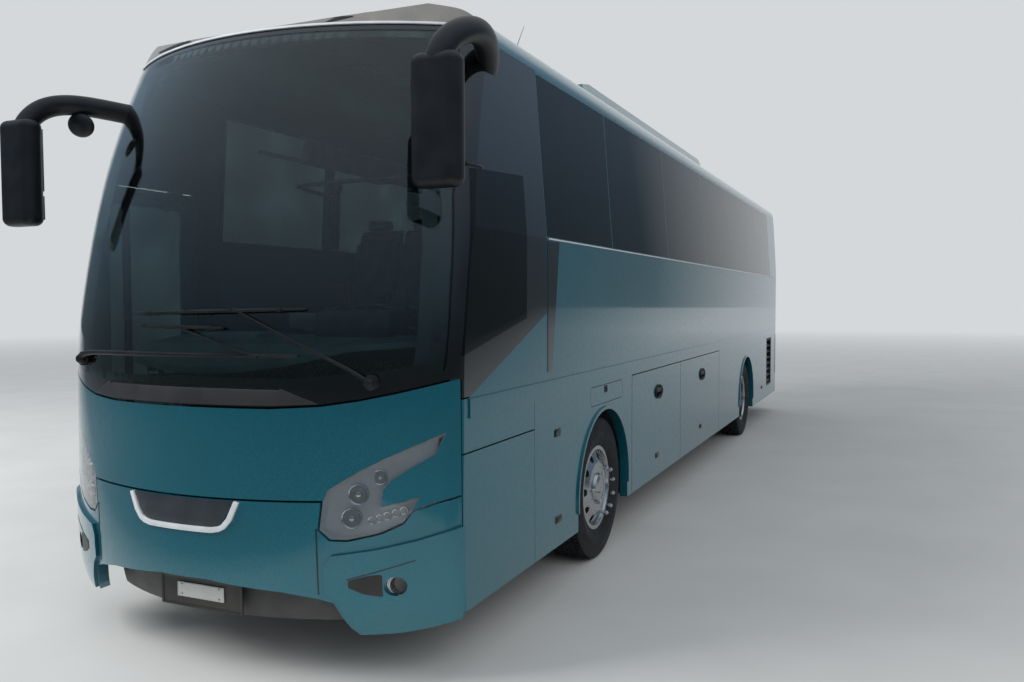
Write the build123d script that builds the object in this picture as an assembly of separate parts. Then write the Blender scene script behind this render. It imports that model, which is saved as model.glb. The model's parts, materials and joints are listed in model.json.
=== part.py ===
from build123d import *
import os
from math import cos, radians, sin, sqrt

os.makedirs("parts", exist_ok=True)

# Two-axle high-deck coach, left-hand drive. Millimetres, +X forward, +Y to the
# coach's left, +Z up. The origin is on the ground under the middle of the body.

# Overall sizes
LENGTH = 12200
WIDTH = 2550
WHEELBASE = 6250
FRONT_OVERHANG = 2750
HALF = WIDTH / 2
NOSE_X = LENGTH / 2
TAIL_X = -LENGTH / 2
FRONT_AXLE_X = NOSE_X - FRONT_OVERHANG
REAR_AXLE_X = FRONT_AXLE_X - WHEELBASE

# Heights above the ground
SKIRT_Z = 325
FLAP_TOP_Z = 1262
BELT_Z = 1370
SILL_Z = 2210
SCREEN_TOP_Z = 3250
ROOF_SIDE_Z = 3200
CROWN_Z = 3450
AC_TOP_Z = 3660

# Body cross-section
ROOF_HALF = 1200
ROOF_CORNER_HALF = 1040
ROOF_CORNER_Z = 3368
SIDE_SLOPE = (HALF - ROOF_HALF) / (ROOF_SIDE_Z - SILL_Z)

# Wall thicknesses and gaps
WALL = 60
FLAP_WALL = 40
LID_GAP = 10
GLASS = 10
SEAM = 8
FIT = 1
MOULDING = 8

# Stations along the side, measured from the front axle
MASK_UP_X = FRONT_AXLE_X + 1115
MASK_LOW_X = FRONT_AXLE_X + 1310
CORNER_X = FRONT_AXLE_X + 2220
FLAP_1_X = FRONT_AXLE_X - 687
FLAP_2_X = FRONT_AXLE_X - 2339
FLAP_3_X = FRONT_AXLE_X - 4276
CAP_X = FRONT_AXLE_X + 1680

# Wheels
TYRE_R = 505
TYRE_W = 295
BEAD_R = 288
RIM_LIP_R = 298
RIM_W = 230
FRONT_WHEEL_Y = 1097
REAR_WHEEL_Y = 1095
TWIN_PITCH = 340
KINGPIN_Y = 1000
ARCH_R = 565
TUB_R = 625
TUB_WALL = 15
TUB_IN_Y = 575
TUB_REAR_Y = 545

# Floors
HOLD_FLOOR_Z = 400
HOLD_PLATE = 30
DECK_Z = 1370
DECK_PLATE = 40
CAB_FLOOR_Z = 1000
CAB_X = FRONT_AXLE_X + 850
BULKHEAD = 30


def block(x, y, z):
    """A box from its low and high limits on each axis."""
    size = (x[1] - x[0], y[1] - y[0], z[1] - z[0])
    middle = ((x[0] + x[1]) / 2, (y[0] + y[1]) / 2, (z[0] + z[1]) / 2)
    return Pos(*middle) * Box(*size)


def rod(start, end, radius):
    """A round bar between two points."""
    a = Vector(*start)
    b = Vector(*end)
    plane = Plane(origin=a, z_dir=b - a)
    return extrude(plane * Circle(radius), (b - a).length)


def right(shape):
    """The same piece on the coach's right."""
    return mirror(shape, about=Plane.XZ)


def side_prism(points, y):
    """Side-view outline (x, z) pulled across from y[0] to y[1]."""
    face = make_face(Polyline(*[(px, y[0], pz) for px, pz in points], close=True))
    return extrude(face, y[1] - y[0], dir=(0, 1, 0))


def front_prism(points, x):
    """Front-view outline (y, z) pulled forward from x[0] to x[1]."""
    face = make_face(Polyline(*[(x[0], py, pz) for py, pz in points], close=True))
    return extrude(face, x[1] - x[0], dir=(1, 0, 0))


def save(name, *pieces):
    solids = [solid for piece in pieces for solid in piece.solids()]
    export_step(Compound(solids), f"parts/{name}.step")


def cross_face(inset, x):
    """Closed body cross-section at a station, inset from the outer skin."""
    low = Line((HALF, 0), (HALF, SILL_Z))
    side = Line((HALF, SILL_Z), (ROOF_HALF, ROOF_SIDE_Z))
    bend = TangentArc(
        (ROOF_HALF, ROOF_SIDE_Z),
        (ROOF_CORNER_HALF, ROOF_CORNER_Z),
        tangent=(-SIDE_SLOPE, 1),
    )
    crown = ThreePointArc(
        (ROOF_CORNER_HALF, ROOF_CORNER_Z), (0, CROWN_Z), (-ROOF_CORNER_HALF, ROOF_CORNER_Z)
    )
    bend_2 = mirror(bend, about=Plane.YZ)
    side_2 = mirror(side, about=Plane.YZ)
    low_2 = mirror(low, about=Plane.YZ)
    floor = Line((-HALF, 0), (HALF, 0))
    face = make_face([low, side, bend, crown, bend_2, side_2, low_2, floor])
    if inset:
        face = offset(face, -inset, kind=Kind.INTERSECTION)
    return Plane(origin=(x, 0, 0), x_dir=(0, 1, 0), z_dir=(1, 0, 0)) * face


def tail_plan(inset):
    """Plan of the straight body with its rounded rear corners, as a solid."""
    rear = TAIL_X + inset
    half = HALF - inset
    radius = TAIL_CORNER_R - inset
    tall = AC_TOP_Z + 200
    plan = block((rear, MASK_LOW_X + 400), (-half, half), (0, tall))
    return fillet(plan.edges().filter_by(Axis.Z).group_by(Axis.X)[0], radius)


TAIL_CORNER_R = 240
TAIL_LEAN = 0.09


def main_body(inset):
    """The straight body from the tail to the front mask, inset from the skin."""
    tube = extrude(cross_face(inset, TAIL_X), MASK_LOW_X + 400 - TAIL_X, dir=(1, 0, 0))
    shape = tube & tail_plan(inset)
    lean_top = TAIL_X + inset + (CROWN_Z - SILL_Z) * TAIL_LEAN
    wedge = side_prism(
        [
            (TAIL_X - 500, SILL_Z),
            (TAIL_X + inset, SILL_Z),
            (lean_top, CROWN_Z),
            (TAIL_X - 500, CROWN_Z + 500),
        ],
        (-WIDTH, WIDTH),
    )
    return shape - wedge


# Plan sections of the nose: height, half width, setback of the nose, radius of
# the front, radius of the corner. The sides stand a little proud, and the body's
# cross-section trims them flat
NOSE_SPARE = 4
NOSE_R = 1880
NOSE_ROWS = (
    (250, HALF, 60, NOSE_R, 175),
    (430, HALF, 14, NOSE_R, 175),
    (620, HALF, 2, NOSE_R, 175),
    (950, HALF, 0, NOSE_R, 175),
    (1370, HALF, 6, NOSE_R, 175),
    (1650, HALF, 22, NOSE_R, 175),
    (1900, HALF, 60, NOSE_R, 185),
    (SILL_Z, HALF, 128, NOSE_R, 200),
    (2500, HALF - 290 * SIDE_SLOPE, 208, NOSE_R, 215),
    (2800, HALF - 590 * SIDE_SLOPE, 314, NOSE_R, 230),
    (3010, HALF - 800 * SIDE_SLOPE, 402, NOSE_R, 245),
    (3240, HALF - 1030 * SIDE_SLOPE, 512, NOSE_R, 250),
    (3520, HALF - 1310 * SIDE_SLOPE, 680, NOSE_R, 250),
)
NOSE_BACK_X = FRONT_AXLE_X + 1000
NOSE_LEAST_R = 20


def nose_section(row, inset):
    """One plan section of the nose: straight sides, corner arcs and a front arc."""
    height, half, setback, front_r, corner_r = row
    half = half + NOSE_SPARE - inset
    nose = NOSE_X - setback - inset
    front_r = front_r - inset
    corner_r = max(corner_r - inset, NOSE_LEAST_R)
    arm = front_r - corner_r
    front_centre = nose - front_r
    side_centre = front_centre + sqrt(arm**2 - (half - corner_r) ** 2)
    touch_x = front_centre + (side_centre - front_centre) * front_r / arm
    touch_y = (half - corner_r) * front_r / arm
    turn = Vector(touch_x - side_centre, touch_y - half + corner_r).normalized()
    middle = (Vector(0, 1) + turn).normalized() * corner_r
    middle_x = side_centre + middle.X
    middle_y = half - corner_r + middle.Y
    edges = [
        Line((NOSE_BACK_X, -half), (side_centre, -half)),
        ThreePointArc((side_centre, -half), (middle_x, -middle_y), (touch_x, -touch_y)),
        ThreePointArc((touch_x, -touch_y), (nose, 0), (touch_x, touch_y)),
        ThreePointArc((touch_x, touch_y), (middle_x, middle_y), (side_centre, half)),
        Line((side_centre, half), (NOSE_BACK_X, half)),
        Line((NOSE_BACK_X, half), (NOSE_BACK_X, -half)),
    ]
    return Pos(0, 0, height) * make_face(edges)


def nose_body(inset):
    """The rounded front of the body, inset from the skin."""
    nose = loft([nose_section(row, inset) for row in NOSE_ROWS])
    tube = extrude(cross_face(inset, NOSE_BACK_X), 2500, dir=(1, 0, 0))
    brow = side_prism(
        [
            (NOSE_X - 510 - inset, SCREEN_TOP_Z + 15),
            (NOSE_X - 1050 - inset, CROWN_Z + 10 - inset),
            (NOSE_X - 1050, CROWN_Z + 400),
            (NOSE_X + 200, SCREEN_TOP_Z + 400),
            (NOSE_X + 200, SCREEN_TOP_Z + 15),
        ],
        (-WIDTH, WIDTH),
    )
    return (nose & tube) - brow


# Envelopes used by many panels
BODY_OUT = main_body(0)
BODY_WALL = BODY_OUT - main_body(WALL)
BODY_FLAP = BODY_OUT - main_body(FLAP_WALL)
BODY_GLASS = BODY_OUT - main_body(GLASS)
NOSE_OUT = nose_body(0)
NOSE_WALL = NOSE_OUT - nose_body(WALL)
NOSE_LID = NOSE_OUT - nose_body(FLAP_WALL)
NOSE_GLASS = NOSE_OUT - nose_body(GLASS)

WIDE = (-WIDTH, WIDTH)
LEFT = (0, WIDTH)
ARCH_Z = TYRE_R


def arch_cut(axle_x, y, radius):
    """A disc across the body at a wheel."""
    return rod((axle_x, y[0], ARCH_Z), (axle_x, y[1], ARCH_Z), radius)


# Side windows: dividers between the panes, measured from the front axle
PANE_EDGES = (1115, -180, -1850, -3525, -5200, -6875, -8550)
PANE_GAP = 10
PANE_LOW_Z = SILL_Z + 12
PANE_TOP_Z = ROOF_SIDE_Z - 20
PILLAR = 70
FRAME_LOW_Z = SILL_Z + 60
FRAME_TOP_Z = ROOF_SIDE_Z - 70


def pane_boxes(y, grow, low, top):
    """One box for each side pane, grown or shrunk along the coach."""
    boxes = []
    for front, rear in zip(PANE_EDGES[:-1], PANE_EDGES[1:]):
        x = (FRONT_AXLE_X + rear - grow, FRONT_AXLE_X + front + grow)
        boxes.append(block(x, y, (low, top)))
    return boxes


def side_wall():
    """Left upper side from the belt rail to the roof edge, windows cut."""
    reach = block((TAIL_X + TAIL_CORNER_R, MASK_UP_X), LEFT, (FLAP_TOP_Z, ROOF_SIDE_Z))
    wall = BODY_WALL & reach
    for box in pane_boxes(LEFT, -PILLAR / 2, FRAME_LOW_Z, FRAME_TOP_Z):
        wall -= box
    seats = pane_boxes((0, WIDTH), -PANE_GAP / 2, PANE_LOW_Z, PANE_TOP_Z)
    for box in seats:
        wall -= box & BODY_GLASS
    return wall


def side_glass():
    """Left bonded side panes."""
    panes = []
    for box in pane_boxes(LEFT, -PANE_GAP / 2 - FIT, PANE_LOW_Z + FIT, PANE_TOP_Z - FIT):
        panes.append(BODY_GLASS & box)
    return panes


WALL_LEFT = side_wall()
GLASS_LEFT = side_glass()
save("side_walls", WALL_LEFT, right(WALL_LEFT))

# Luggage flaps: name, front edge, rear edge
LUGGAGE_FLAPS = (
    ("front", FLAP_1_X, FLAP_2_X),
    ("rear", FLAP_2_X, FLAP_3_X),
)
for flap_name, flap_front_x, flap_rear_x in LUGGAGE_FLAPS:
    flap_x = (flap_rear_x + SEAM / 2, flap_front_x - SEAM / 2)
    panel = BODY_FLAP & block(flap_x, LEFT, (SKIRT_Z, FLAP_TOP_Z - SEAM))
    save(f"luggage_flap_{flap_name}_left", panel)
    save(f"luggage_flap_{flap_name}_right", right(panel))

# Driver's service flap and fuel flap on the left
DRIVER_FLAP_TOP_Z = 1103
FUEL_FRONT_X = FRONT_AXLE_X + 318
FUEL_REAR_X = FRONT_AXLE_X - 430
FUEL_LOW_Z = 1115
FUEL_TOP_Z = FLAP_TOP_Z - 12
FUEL_CORNER_R = 40

LOUVRE_FRONT_X = FRONT_AXLE_X - 8160
LOUVRE_REAR_X = FRONT_AXLE_X - 8680
LOUVRE_LOW_Z = 500
LOUVRE_TOP_Z = FLAP_TOP_Z - 20
TAIL_PANEL_X = TAIL_X + 300


def fuel_cut(gap):
    box = block(
        (FUEL_REAR_X + gap, FUEL_FRONT_X - gap), (HALF / 2, WIDTH), (FUEL_LOW_Z + gap, FUEL_TOP_Z - gap)
    )
    return fillet(box.edges().filter_by(Axis.Y), FUEL_CORNER_R - gap)


def louvre_cut(gap):
    x = (LOUVRE_REAR_X + gap, LOUVRE_FRONT_X - gap)
    return block(x, (HALF / 2, WIDTH), (LOUVRE_LOW_Z + gap, LOUVRE_TOP_Z - gap))


def skirt(with_fuel):
    """Fixed lower side panels with the wheel arches cut."""
    reach = block((TAIL_PANEL_X, MASK_LOW_X), LEFT, (SKIRT_Z, FLAP_TOP_Z))
    shape = BODY_WALL & reach
    shape -= block((FLAP_3_X - SEAM / 2, FLAP_1_X + SEAM / 2), LEFT, (0, FLAP_TOP_Z + 1))
    for axle_x in (FRONT_AXLE_X, REAR_AXLE_X):
        shape -= arch_cut(axle_x, LEFT, ARCH_R)
        shape -= block((axle_x - ARCH_R, axle_x + ARCH_R), LEFT, (0, ARCH_Z))
    shape -= louvre_cut(0)
    if with_fuel:
        shape -= fuel_cut(0)
    return shape


save("skirts", skirt(True), right(skirt(False)))
save("fuel_flap", (BODY_OUT - main_body(25)) & fuel_cut(SEAM / 2))

SLAT_PITCH = 92
SLAT = 14


def louvre():
    """Black slatted grille on the rear quarter."""
    frame = (BODY_WALL & louvre_cut(FIT)) - louvre_cut(25)
    slats = []
    height = LOUVRE_LOW_Z + 25 + SLAT_PITCH / 2
    while height < LOUVRE_TOP_Z - 25:
        slat = block((LOUVRE_REAR_X + 20, LOUVRE_FRONT_X - 20), (HALF - 58, HALF - 4), (-SLAT / 2, SLAT / 2))
        slat = Pos(0, HALF - 30, 0) * Rot(-35, 0, 0) * Pos(0, -HALF + 30, 0) * slat
        slats.append((Pos(0, 0, height) * slat) & louvre_cut(FIT))
        height += SLAT_PITCH
    return Part() + [frame, *slats]


LOUVRE_LEFT = louvre()
save("side_louvres", LOUVRE_LEFT, right(LOUVRE_LEFT))

# Entrance door on the right
DOOR_FRONT_X = FRONT_AXLE_X + 2150
DOOR_REAR_X = MASK_LOW_X + SEAM
DOOR_LOW_Z = 370
DOOR_TOP_Z = 2560
DOOR_BEND_Z = 1800
DOOR_LEAN = 110
DOOR_CORNER_R = 80


def door_box(gap, y):
    """Space of the entrance door, whose front edge leans back with the post."""
    outline = Polyline(
        (DOOR_REAR_X, DOOR_LOW_Z),
        (DOOR_FRONT_X, DOOR_LOW_Z),
        (DOOR_FRONT_X, DOOR_BEND_Z),
        (DOOR_FRONT_X - DOOR_LEAN, DOOR_TOP_Z),
        (DOOR_REAR_X, DOOR_TOP_Z),
        close=True,
    )
    face = offset(make_face(outline), -gap, kind=Kind.INTERSECTION)
    face = fillet(face.vertices(), DOOR_CORNER_R - gap)
    start = Plane(origin=(0, y[1], 0), x_dir=(1, 0, 0), z_dir=(0, -1, 0))
    return extrude(start * face, y[1] - y[0])


# Belt mouldings and the arch lips
ARCH_LIP = 22


def mouldings():
    """Raised belt rail on the left, and the lip round each arch."""
    rail = block((TAIL_PANEL_X, DOOR_FRONT_X), (HALF, HALF + MOULDING), (FLAP_TOP_Z + 10, BELT_Z - 2))
    lips = []
    for axle_x in (FRONT_AXLE_X, REAR_AXLE_X):
        lip = arch_cut(axle_x, (HALF, HALF + MOULDING + 4), ARCH_R + ARCH_LIP)
        lip -= arch_cut(axle_x, (HALF - 1, HALF + 30), ARCH_R)
        lip -= block((axle_x - 2 * ARCH_R, axle_x + 2 * ARCH_R), LEFT, (-ARCH_R, ARCH_Z - 60))
        lips.append(lip)
    return [rail, *lips]


BELT_LEFT = mouldings()
belt_right = [right(piece) for piece in BELT_LEFT]
DOOR_MOULDING = belt_right[0] & door_box(SEAM / 2, (-WIDTH, -HALF / 2))
belt_right[0] -= door_box(0, (-WIDTH, -HALF / 2))
save("belt_mouldings", *BELT_LEFT, *belt_right)

# Roof behind the front cap, with its two hatch openings
HATCH = 620
HATCH_XS = (FRONT_AXLE_X + 700, FRONT_AXLE_X - 7200)
HATCH_RIM = 30
HATCH_LID = 40


def roof():
    shape = BODY_WALL & block((TAIL_X, CAP_X), WIDE, (ROOF_SIDE_Z, CROWN_Z + 50))
    for x in HATCH_XS:
        rim_half = HATCH / 2 + HATCH_RIM - 8
        shape += block((x - rim_half, x + rim_half), (-rim_half, rim_half), (CROWN_Z - WALL, CROWN_Z + 2))
    for x in HATCH_XS:
        shape -= block((x - HATCH / 2, x + HATCH / 2), (-HATCH / 2, HATCH / 2), (3000, 3600))
    return shape


save("roof_panel", roof())
for hatch_name, x in zip(("front", "rear"), HATCH_XS):
    lid = block(
        (x - HATCH / 2 - HATCH_RIM, x + HATCH / 2 + HATCH_RIM),
        (-HATCH / 2 - HATCH_RIM, HATCH / 2 + HATCH_RIM),
        (CROWN_Z + 3, CROWN_Z + HATCH_LID),
    )
    lid = fillet(lid.edges().filter_by(Axis.Z), 60)
    lid = chamfer(lid.faces().sort_by(Axis.Z)[-1].edges(), 15)
    save(f"roof_hatch_{hatch_name}", lid)

# Roof air conditioner
AC_FRONT_X = FRONT_AXLE_X - 480
AC_REAR_X = FRONT_AXLE_X - 5000
AC_HALF = 950
AC_SKIRT_Z = 3370


def air_conditioner(inset):
    """Outer form of the roof unit, inset from its skin."""
    top = AC_TOP_Z - inset
    rear = AC_REAR_X + inset
    front = AC_FRONT_X - inset
    half = AC_HALF - inset
    outline = [
        (rear, AC_SKIRT_Z),
        (rear + 60, top - 110),
        (rear + 320, top),
        (front - 750, top),
        (front - 120, top - 130),
        (front, AC_SKIRT_Z),
    ]
    profile = [
        (-half, AC_SKIRT_Z),
        (-half + 70, top - 90),
        (-half + 260, top - 10),
        (0, top + 10),
        (half - 260, top - 10),
        (half - 70, top - 90),
        (half, AC_SKIRT_Z),
    ]
    return side_prism(outline, (-half, half)) & front_prism(profile, (rear - 100, front + 100))


AC_WALL = 40
save("roof_air_conditioner", air_conditioner(0) - air_conditioner(AC_WALL) - BODY_OUT)

# Front cap over the windscreen
cap = NOSE_WALL & block((CAP_X + SEAM / 2, NOSE_X), WIDE, (SCREEN_TOP_Z + 5, CROWN_Z + 50))
save("roof_front_cap", cap)

# Windscreen and the frame round it. Front view of its edge (y, z), and the line
# of the front posts in side view (x, z)
SCREEN_LOW_Z = 1440
SCREEN_CORNER_Z = 1525
SCREEN_EDGE_HALF = 1150
POST_LINE = (
    (FRONT_AXLE_X + 2310, 1380),
    (FRONT_AXLE_X + 2290, 1500),
    (FRONT_AXLE_X + 2240, 1850),
    (FRONT_AXLE_X + 2150, 2350),
    (FRONT_AXLE_X + 2020, 2850),
    (FRONT_AXLE_X + 1860, 3300),
)


def screen_region(gap):
    """Space of the windscreen: front outline crossed with the post line."""
    low = SCREEN_LOW_Z + gap
    corner = SCREEN_CORNER_Z + gap
    top = SCREEN_TOP_Z - 25 - gap
    outline = [
        (-WIDTH / 2, corner),
        (-SCREEN_EDGE_HALF + 200, low + 30),
        (-600, low),
        (600, low),
        (SCREEN_EDGE_HALF - 200, low + 30),
        (WIDTH / 2, corner),
        (WIDTH / 2, top),
        (-WIDTH / 2, top),
    ]
    front = front_prism(outline, (FRONT_AXLE_X + 1200, NOSE_X + 100))
    posts = [(x + gap, z) for x, z in POST_LINE] + [(NOSE_X + 200, 3300), (NOSE_X + 200, 1380)]
    return front & side_prism(posts, WIDE)


save("windscreen", NOSE_GLASS & screen_region(FIT))

# Driver's window (x, z) and the slanted lower edge of the black band
BAND_EDGE = (
    (CORNER_X - 10, 1475),
    (MASK_UP_X, 1771),
)
DRIVER_WINDOW = (
    (FRONT_AXLE_X + 2215, 1578),
    (FRONT_AXLE_X + 2055, 2500),
    (FRONT_AXLE_X + 1412, 2541),
    (FRONT_AXLE_X + 1420, 1747),
)
BAND_BACK_X = MASK_UP_X

DOOR_SPACE = door_box(0, (-WIDTH, -HALF / 2))
# Top edge of the front lid in front view (y, z), from the middle to the corner
LID_TOP_LINE = (
    (500, 1341),
    (725, 1353),
    (887, 1377),
    (1046, 1411),
    (1198, 1451),
    (HALF + 50, 1487),
)
LID_TOP_Z = LID_TOP_LINE[0][1]
UPPER_MASK = NOSE_WALL & block((BAND_BACK_X, NOSE_X + 100), WIDE, (LID_TOP_Z, SCREEN_TOP_Z))


def lid_top_edge(lift):
    """Space above the front lid, whose top edge rises towards the corners."""
    near = [(y, z + lift) for y, z in LID_TOP_LINE]
    far = [(-y, z) for y, z in near]
    top = [(HALF + 50, 3400), (-HALF - 50, 3400)]
    outline = near + top + far[::-1]
    return front_prism(outline, (FRONT_AXLE_X + 1000, NOSE_X + 100))


ABOVE_BAND = side_prism(
    [
        (BAND_EDGE[0][0] + 2000, BAND_EDGE[0][1] - 900),
        BAND_EDGE[1],
        (BAND_EDGE[1][0], 3400),
        (NOSE_X + 2000, 3400),
    ],
    WIDE,
)


DRIVER_WINDOW_SPACE = side_prism(DRIVER_WINDOW, (HALF / 2, WIDTH))


def front_mask():
    """Black surround of the windscreen, driver's window and entrance."""
    mask = UPPER_MASK & ABOVE_BAND
    mask -= block((CORNER_X - SEAM / 2, NOSE_X + 100), WIDE, (0, SCREEN_TOP_Z)) - lid_top_edge(LID_GAP)
    mask -= block((0, CORNER_X), WIDE, (0, BELT_Z + SEAM))
    mask -= screen_region(0) & NOSE_GLASS
    mask -= screen_region(45)
    mask -= DRIVER_WINDOW_SPACE
    mask -= DOOR_SPACE
    mask -= block((0, CAP_X + SEAM / 2), WIDE, (ROOF_SIDE_Z, CROWN_Z))
    return mask


MASK = front_mask()
save("windscreen_frame", MASK)
driver_pane = NOSE_GLASS & DRIVER_WINDOW_SPACE
save("side_glass", *GLASS_LEFT, driver_pane, *[right(pane) for pane in GLASS_LEFT])

# Painted quarter panels between the corner seam and the side
quarter = NOSE_WALL & block((MASK_UP_X, CORNER_X - SEAM / 2), LEFT, (BELT_Z, SILL_Z))
quarter -= ABOVE_BAND
over_flap = (DRIVER_FLAP_TOP_Z + SEAM / 2, BELT_Z)
quarter += NOSE_WALL & block((MASK_LOW_X + SEAM / 2, CORNER_X - SEAM / 2), LEFT, over_flap)
quarter += NOSE_WALL & block((MASK_UP_X, MASK_LOW_X + SEAM), LEFT, (FLAP_TOP_Z, BELT_Z))
quarter_right = right(quarter) - DOOR_SPACE
save("quarter_panels", quarter, quarter_right)

driver_flap = NOSE_LID & block(
    (MASK_LOW_X + SEAM / 2, CORNER_X - SEAM / 2), LEFT, (SKIRT_Z, DRIVER_FLAP_TOP_Z - SEAM / 2)
)
save("driver_flap", driver_flap)

# Seam between bumper and front lid in front view (y, z). It runs behind the lamp
BUMPER_SEAM_Z = 912
SEAM_LINE = (
    (760, BUMPER_SEAM_Z),
    (1000, 852),
    (1090, 855),
    (1192, 891),
    (HALF + 50, 925),
)


def below_seam(drop):
    """Space under the seam, lowered by a gap."""
    near = [(y, z - drop) for y, z in SEAM_LINE]
    far = [(-y, z) for y, z in near]
    low = [(HALF + 50, 0), (-HALF - 50, 0)]
    return front_prism(near + low + far[::-1], (FRONT_AXLE_X + 2000, NOSE_X + 100))


# Front lid between the bumper seam and the windscreen
LID_REACH = block((CORNER_X + SEAM / 2, NOSE_X + 50), WIDE, (BUMPER_SEAM_Z - 100, SILL_Z))
LID_FACE = (NOSE_LID & LID_REACH) - lid_top_edge(0) - below_seam(0)

# Lamp outline in front view (y, z), left lamp
LAMP_OUTLINE = (
    (735, BUMPER_SEAM_Z),
    (756, 962),
    (830, 1012),
    (892, 1052),
    (1014, 1118),
    (1224, 1219),
    (1188, 1120),
    (1089, 1054),
    (1013, 996),
    (985, 958),
    (973, 876),
    (1050, 897),
    (1127, 918),
    (1094, 858),
    (1057, 799),
    (970, 756),
    (835, 726),
    (763, 730),
    (719, 775),
)
LAMP_DEPTH = 110
LAMP_GAP = 10


def lamp_space(gap):
    """Space of the left lamp, grown by a gap."""
    edge = make_face(Polyline(*LAMP_OUTLINE, close=True))
    if gap:
        edge = offset(edge, gap, kind=Kind.INTERSECTION)
    start = Plane(origin=(FRONT_AXLE_X + 2200, 0, 0), x_dir=(0, 1, 0), z_dir=(1, 0, 0))
    return extrude(start * edge, NOSE_X + 50 - FRONT_AXLE_X - 2200, dir=(1, 0, 0))


LAMP_HOLE = lamp_space(LAMP_GAP)
LAMP_SEAT = lamp_space(FIT)
NOSE_LAMP = NOSE_OUT - nose_body(LAMP_DEPTH)
lamp_left = NOSE_LAMP & lamp_space(0) & block((CORNER_X + 2 * SEAM, NOSE_X), LEFT, (0, 3000))
save("headlamps", lamp_left, right(lamp_left))

# Lift arms of the front lid. They swing about pins behind the dashboard's front
# and keep the lid upright, so it moves forward before it rises
LID_ARM = 560
LID_BACK = 8
LID_RANGE = 76
LID_ARM_Y = 500
LID_EYE_X = FRONT_AXLE_X + 2320
LID_EYE_Z = 975
LID_PIN_X = LID_EYE_X + LID_ARM * sin(radians(LID_BACK))
LID_PIN_Z = LID_EYE_Z + LID_ARM * cos(radians(LID_BACK))
LID_NECK_X = LID_PIN_X - 188
LID_NECK_Z = LID_PIN_Z - 318
LID_ROD_R = 14
LID_BRACKET_X = NOSE_X - 88


def lid_arms():
    """Both goose-neck arms and the tube that joins them."""
    arms = rod((LID_PIN_X, -LID_ARM_Y - 20, LID_PIN_Z), (LID_PIN_X, LID_ARM_Y + 20, LID_PIN_Z), 12)
    for side in (1, -1):
        pin = (LID_PIN_X, side * LID_ARM_Y, LID_PIN_Z)
        neck = (LID_NECK_X, side * LID_ARM_Y, LID_NECK_Z)
        eye = (LID_EYE_X, side * LID_ARM_Y, LID_EYE_Z)
        arms += rod(pin, neck, LID_ROD_R)
        arms += Pos(*neck) * Sphere(LID_ROD_R)
        arms += rod(neck, eye, LID_ROD_R)
        arms += rod((eye[0], eye[1] - 22, eye[2]), (eye[0], eye[1] + 22, eye[2]), 16)
    return arms


save("front_lid_arms", lid_arms())
lid = LID_FACE - LAMP_SEAT - right(LAMP_SEAT)
for side in (1, -1):
    for offset_y in (-34, 34):
        y = side * LID_ARM_Y + offset_y
        lid += block((LID_EYE_X - 12, LID_BRACKET_X), (y - 8, y + 8), (LID_EYE_Z - 12, LID_EYE_Z + 12))
save("front_lid", lid)

# Bumper with its deeper corners, and the lip set back between them
LIP_TOP_Z = 510
LIP_LOW_Z = 280
LIP_FLANGE = 40
LIP_SETBACK = 140
LIP_WALL = 40
LIP_HALF = 760
TOW_YS = (-210, 210)
TOW_Z = 405
TOW_R = 18
TOW_HOLE_R = 28
TOW_L = 80
TOW_FACE_X = NOSE_X - 185
# Lower edge of the bumper in front view (y, z), from the middle to the corner
BUMPER_EDGE = (
    (150, 506),
    (330, 488),
    (540, 471),
    (700, 443),
    (768, 420),
    (799, 346),
    (825, 294),
    (858, 252),
    (1058, 264),
    (1153, 278),
    (HALF + 50, 318),
)


def below_bumper():
    """Space under the bumper's lower edge."""
    near = list(BUMPER_EDGE)
    far = [(-y, z) for y, z in near]
    low = [(HALF + 50, 0), (-HALF - 50, 0)]
    return front_prism(near + low + far[::-1], (FRONT_AXLE_X + 2000, NOSE_X + 100))


BULGE = 18
BULGE_IN_Y = 742
# Upper edge of the raised corners in front view (y, z)
BULGE_EDGE = (
    (BULGE_IN_Y, 600),
    (BULGE_IN_Y + 30, 652),
    (968, 679),
    (1125, 713),
    (HALF + 60, 775),
)


def bulge():
    """Raised face of the left bumper corner."""
    outline = list(BULGE_EDGE) + [(HALF + 60, 260), (880, 260), (BULGE_IN_Y + 40, 440), (BULGE_IN_Y, 480)]
    return front_prism(outline, (CORNER_X + SEAM / 2, NOSE_X + 100))


bumper_reach = block((CORNER_X + SEAM / 2, NOSE_X + 50), WIDE, (0, SILL_Z))
bumper = (NOSE_WALL & bumper_reach & below_seam(LID_GAP)) - below_bumper()
raised = ((nose_body(-BULGE) - nose_body(WALL / 2)) & bulge()) - below_bumper()
bumper = bumper + raised + right(raised)
bumper = bumper - LAMP_HOLE - right(LAMP_HOLE)
FOG_Y = 1035
FOG_Z = 500
FOG_R = 45
fog_bore = rod((NOSE_X - 600, FOG_Y, FOG_Z), (NOSE_X, FOG_Y, FOG_Z), FOG_R + FIT)
bumper = bumper - fog_bore - right(fog_bore)
save("front_bumper", bumper)
fog = NOSE_WALL & rod((NOSE_X - 600, FOG_Y, FOG_Z), (NOSE_X, FOG_Y, FOG_Z), FOG_R)
save("fog_lamps", fog, right(fog))
lip_shell = nose_body(LIP_SETBACK) - nose_body(LIP_SETBACK + LIP_WALL)
lip = lip_shell & block((CORNER_X, NOSE_X), (-LIP_HALF, LIP_HALF), (LIP_LOW_Z, LIP_TOP_Z + LIP_FLANGE))
lip_shelf = nose_body(WALL + FIT) - nose_body(LIP_SETBACK + LIP_WALL)
lip += lip_shelf & block((CORNER_X, NOSE_X), (-LIP_HALF, LIP_HALF), (LIP_TOP_Z, LIP_TOP_Z + LIP_FLANGE))
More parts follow.
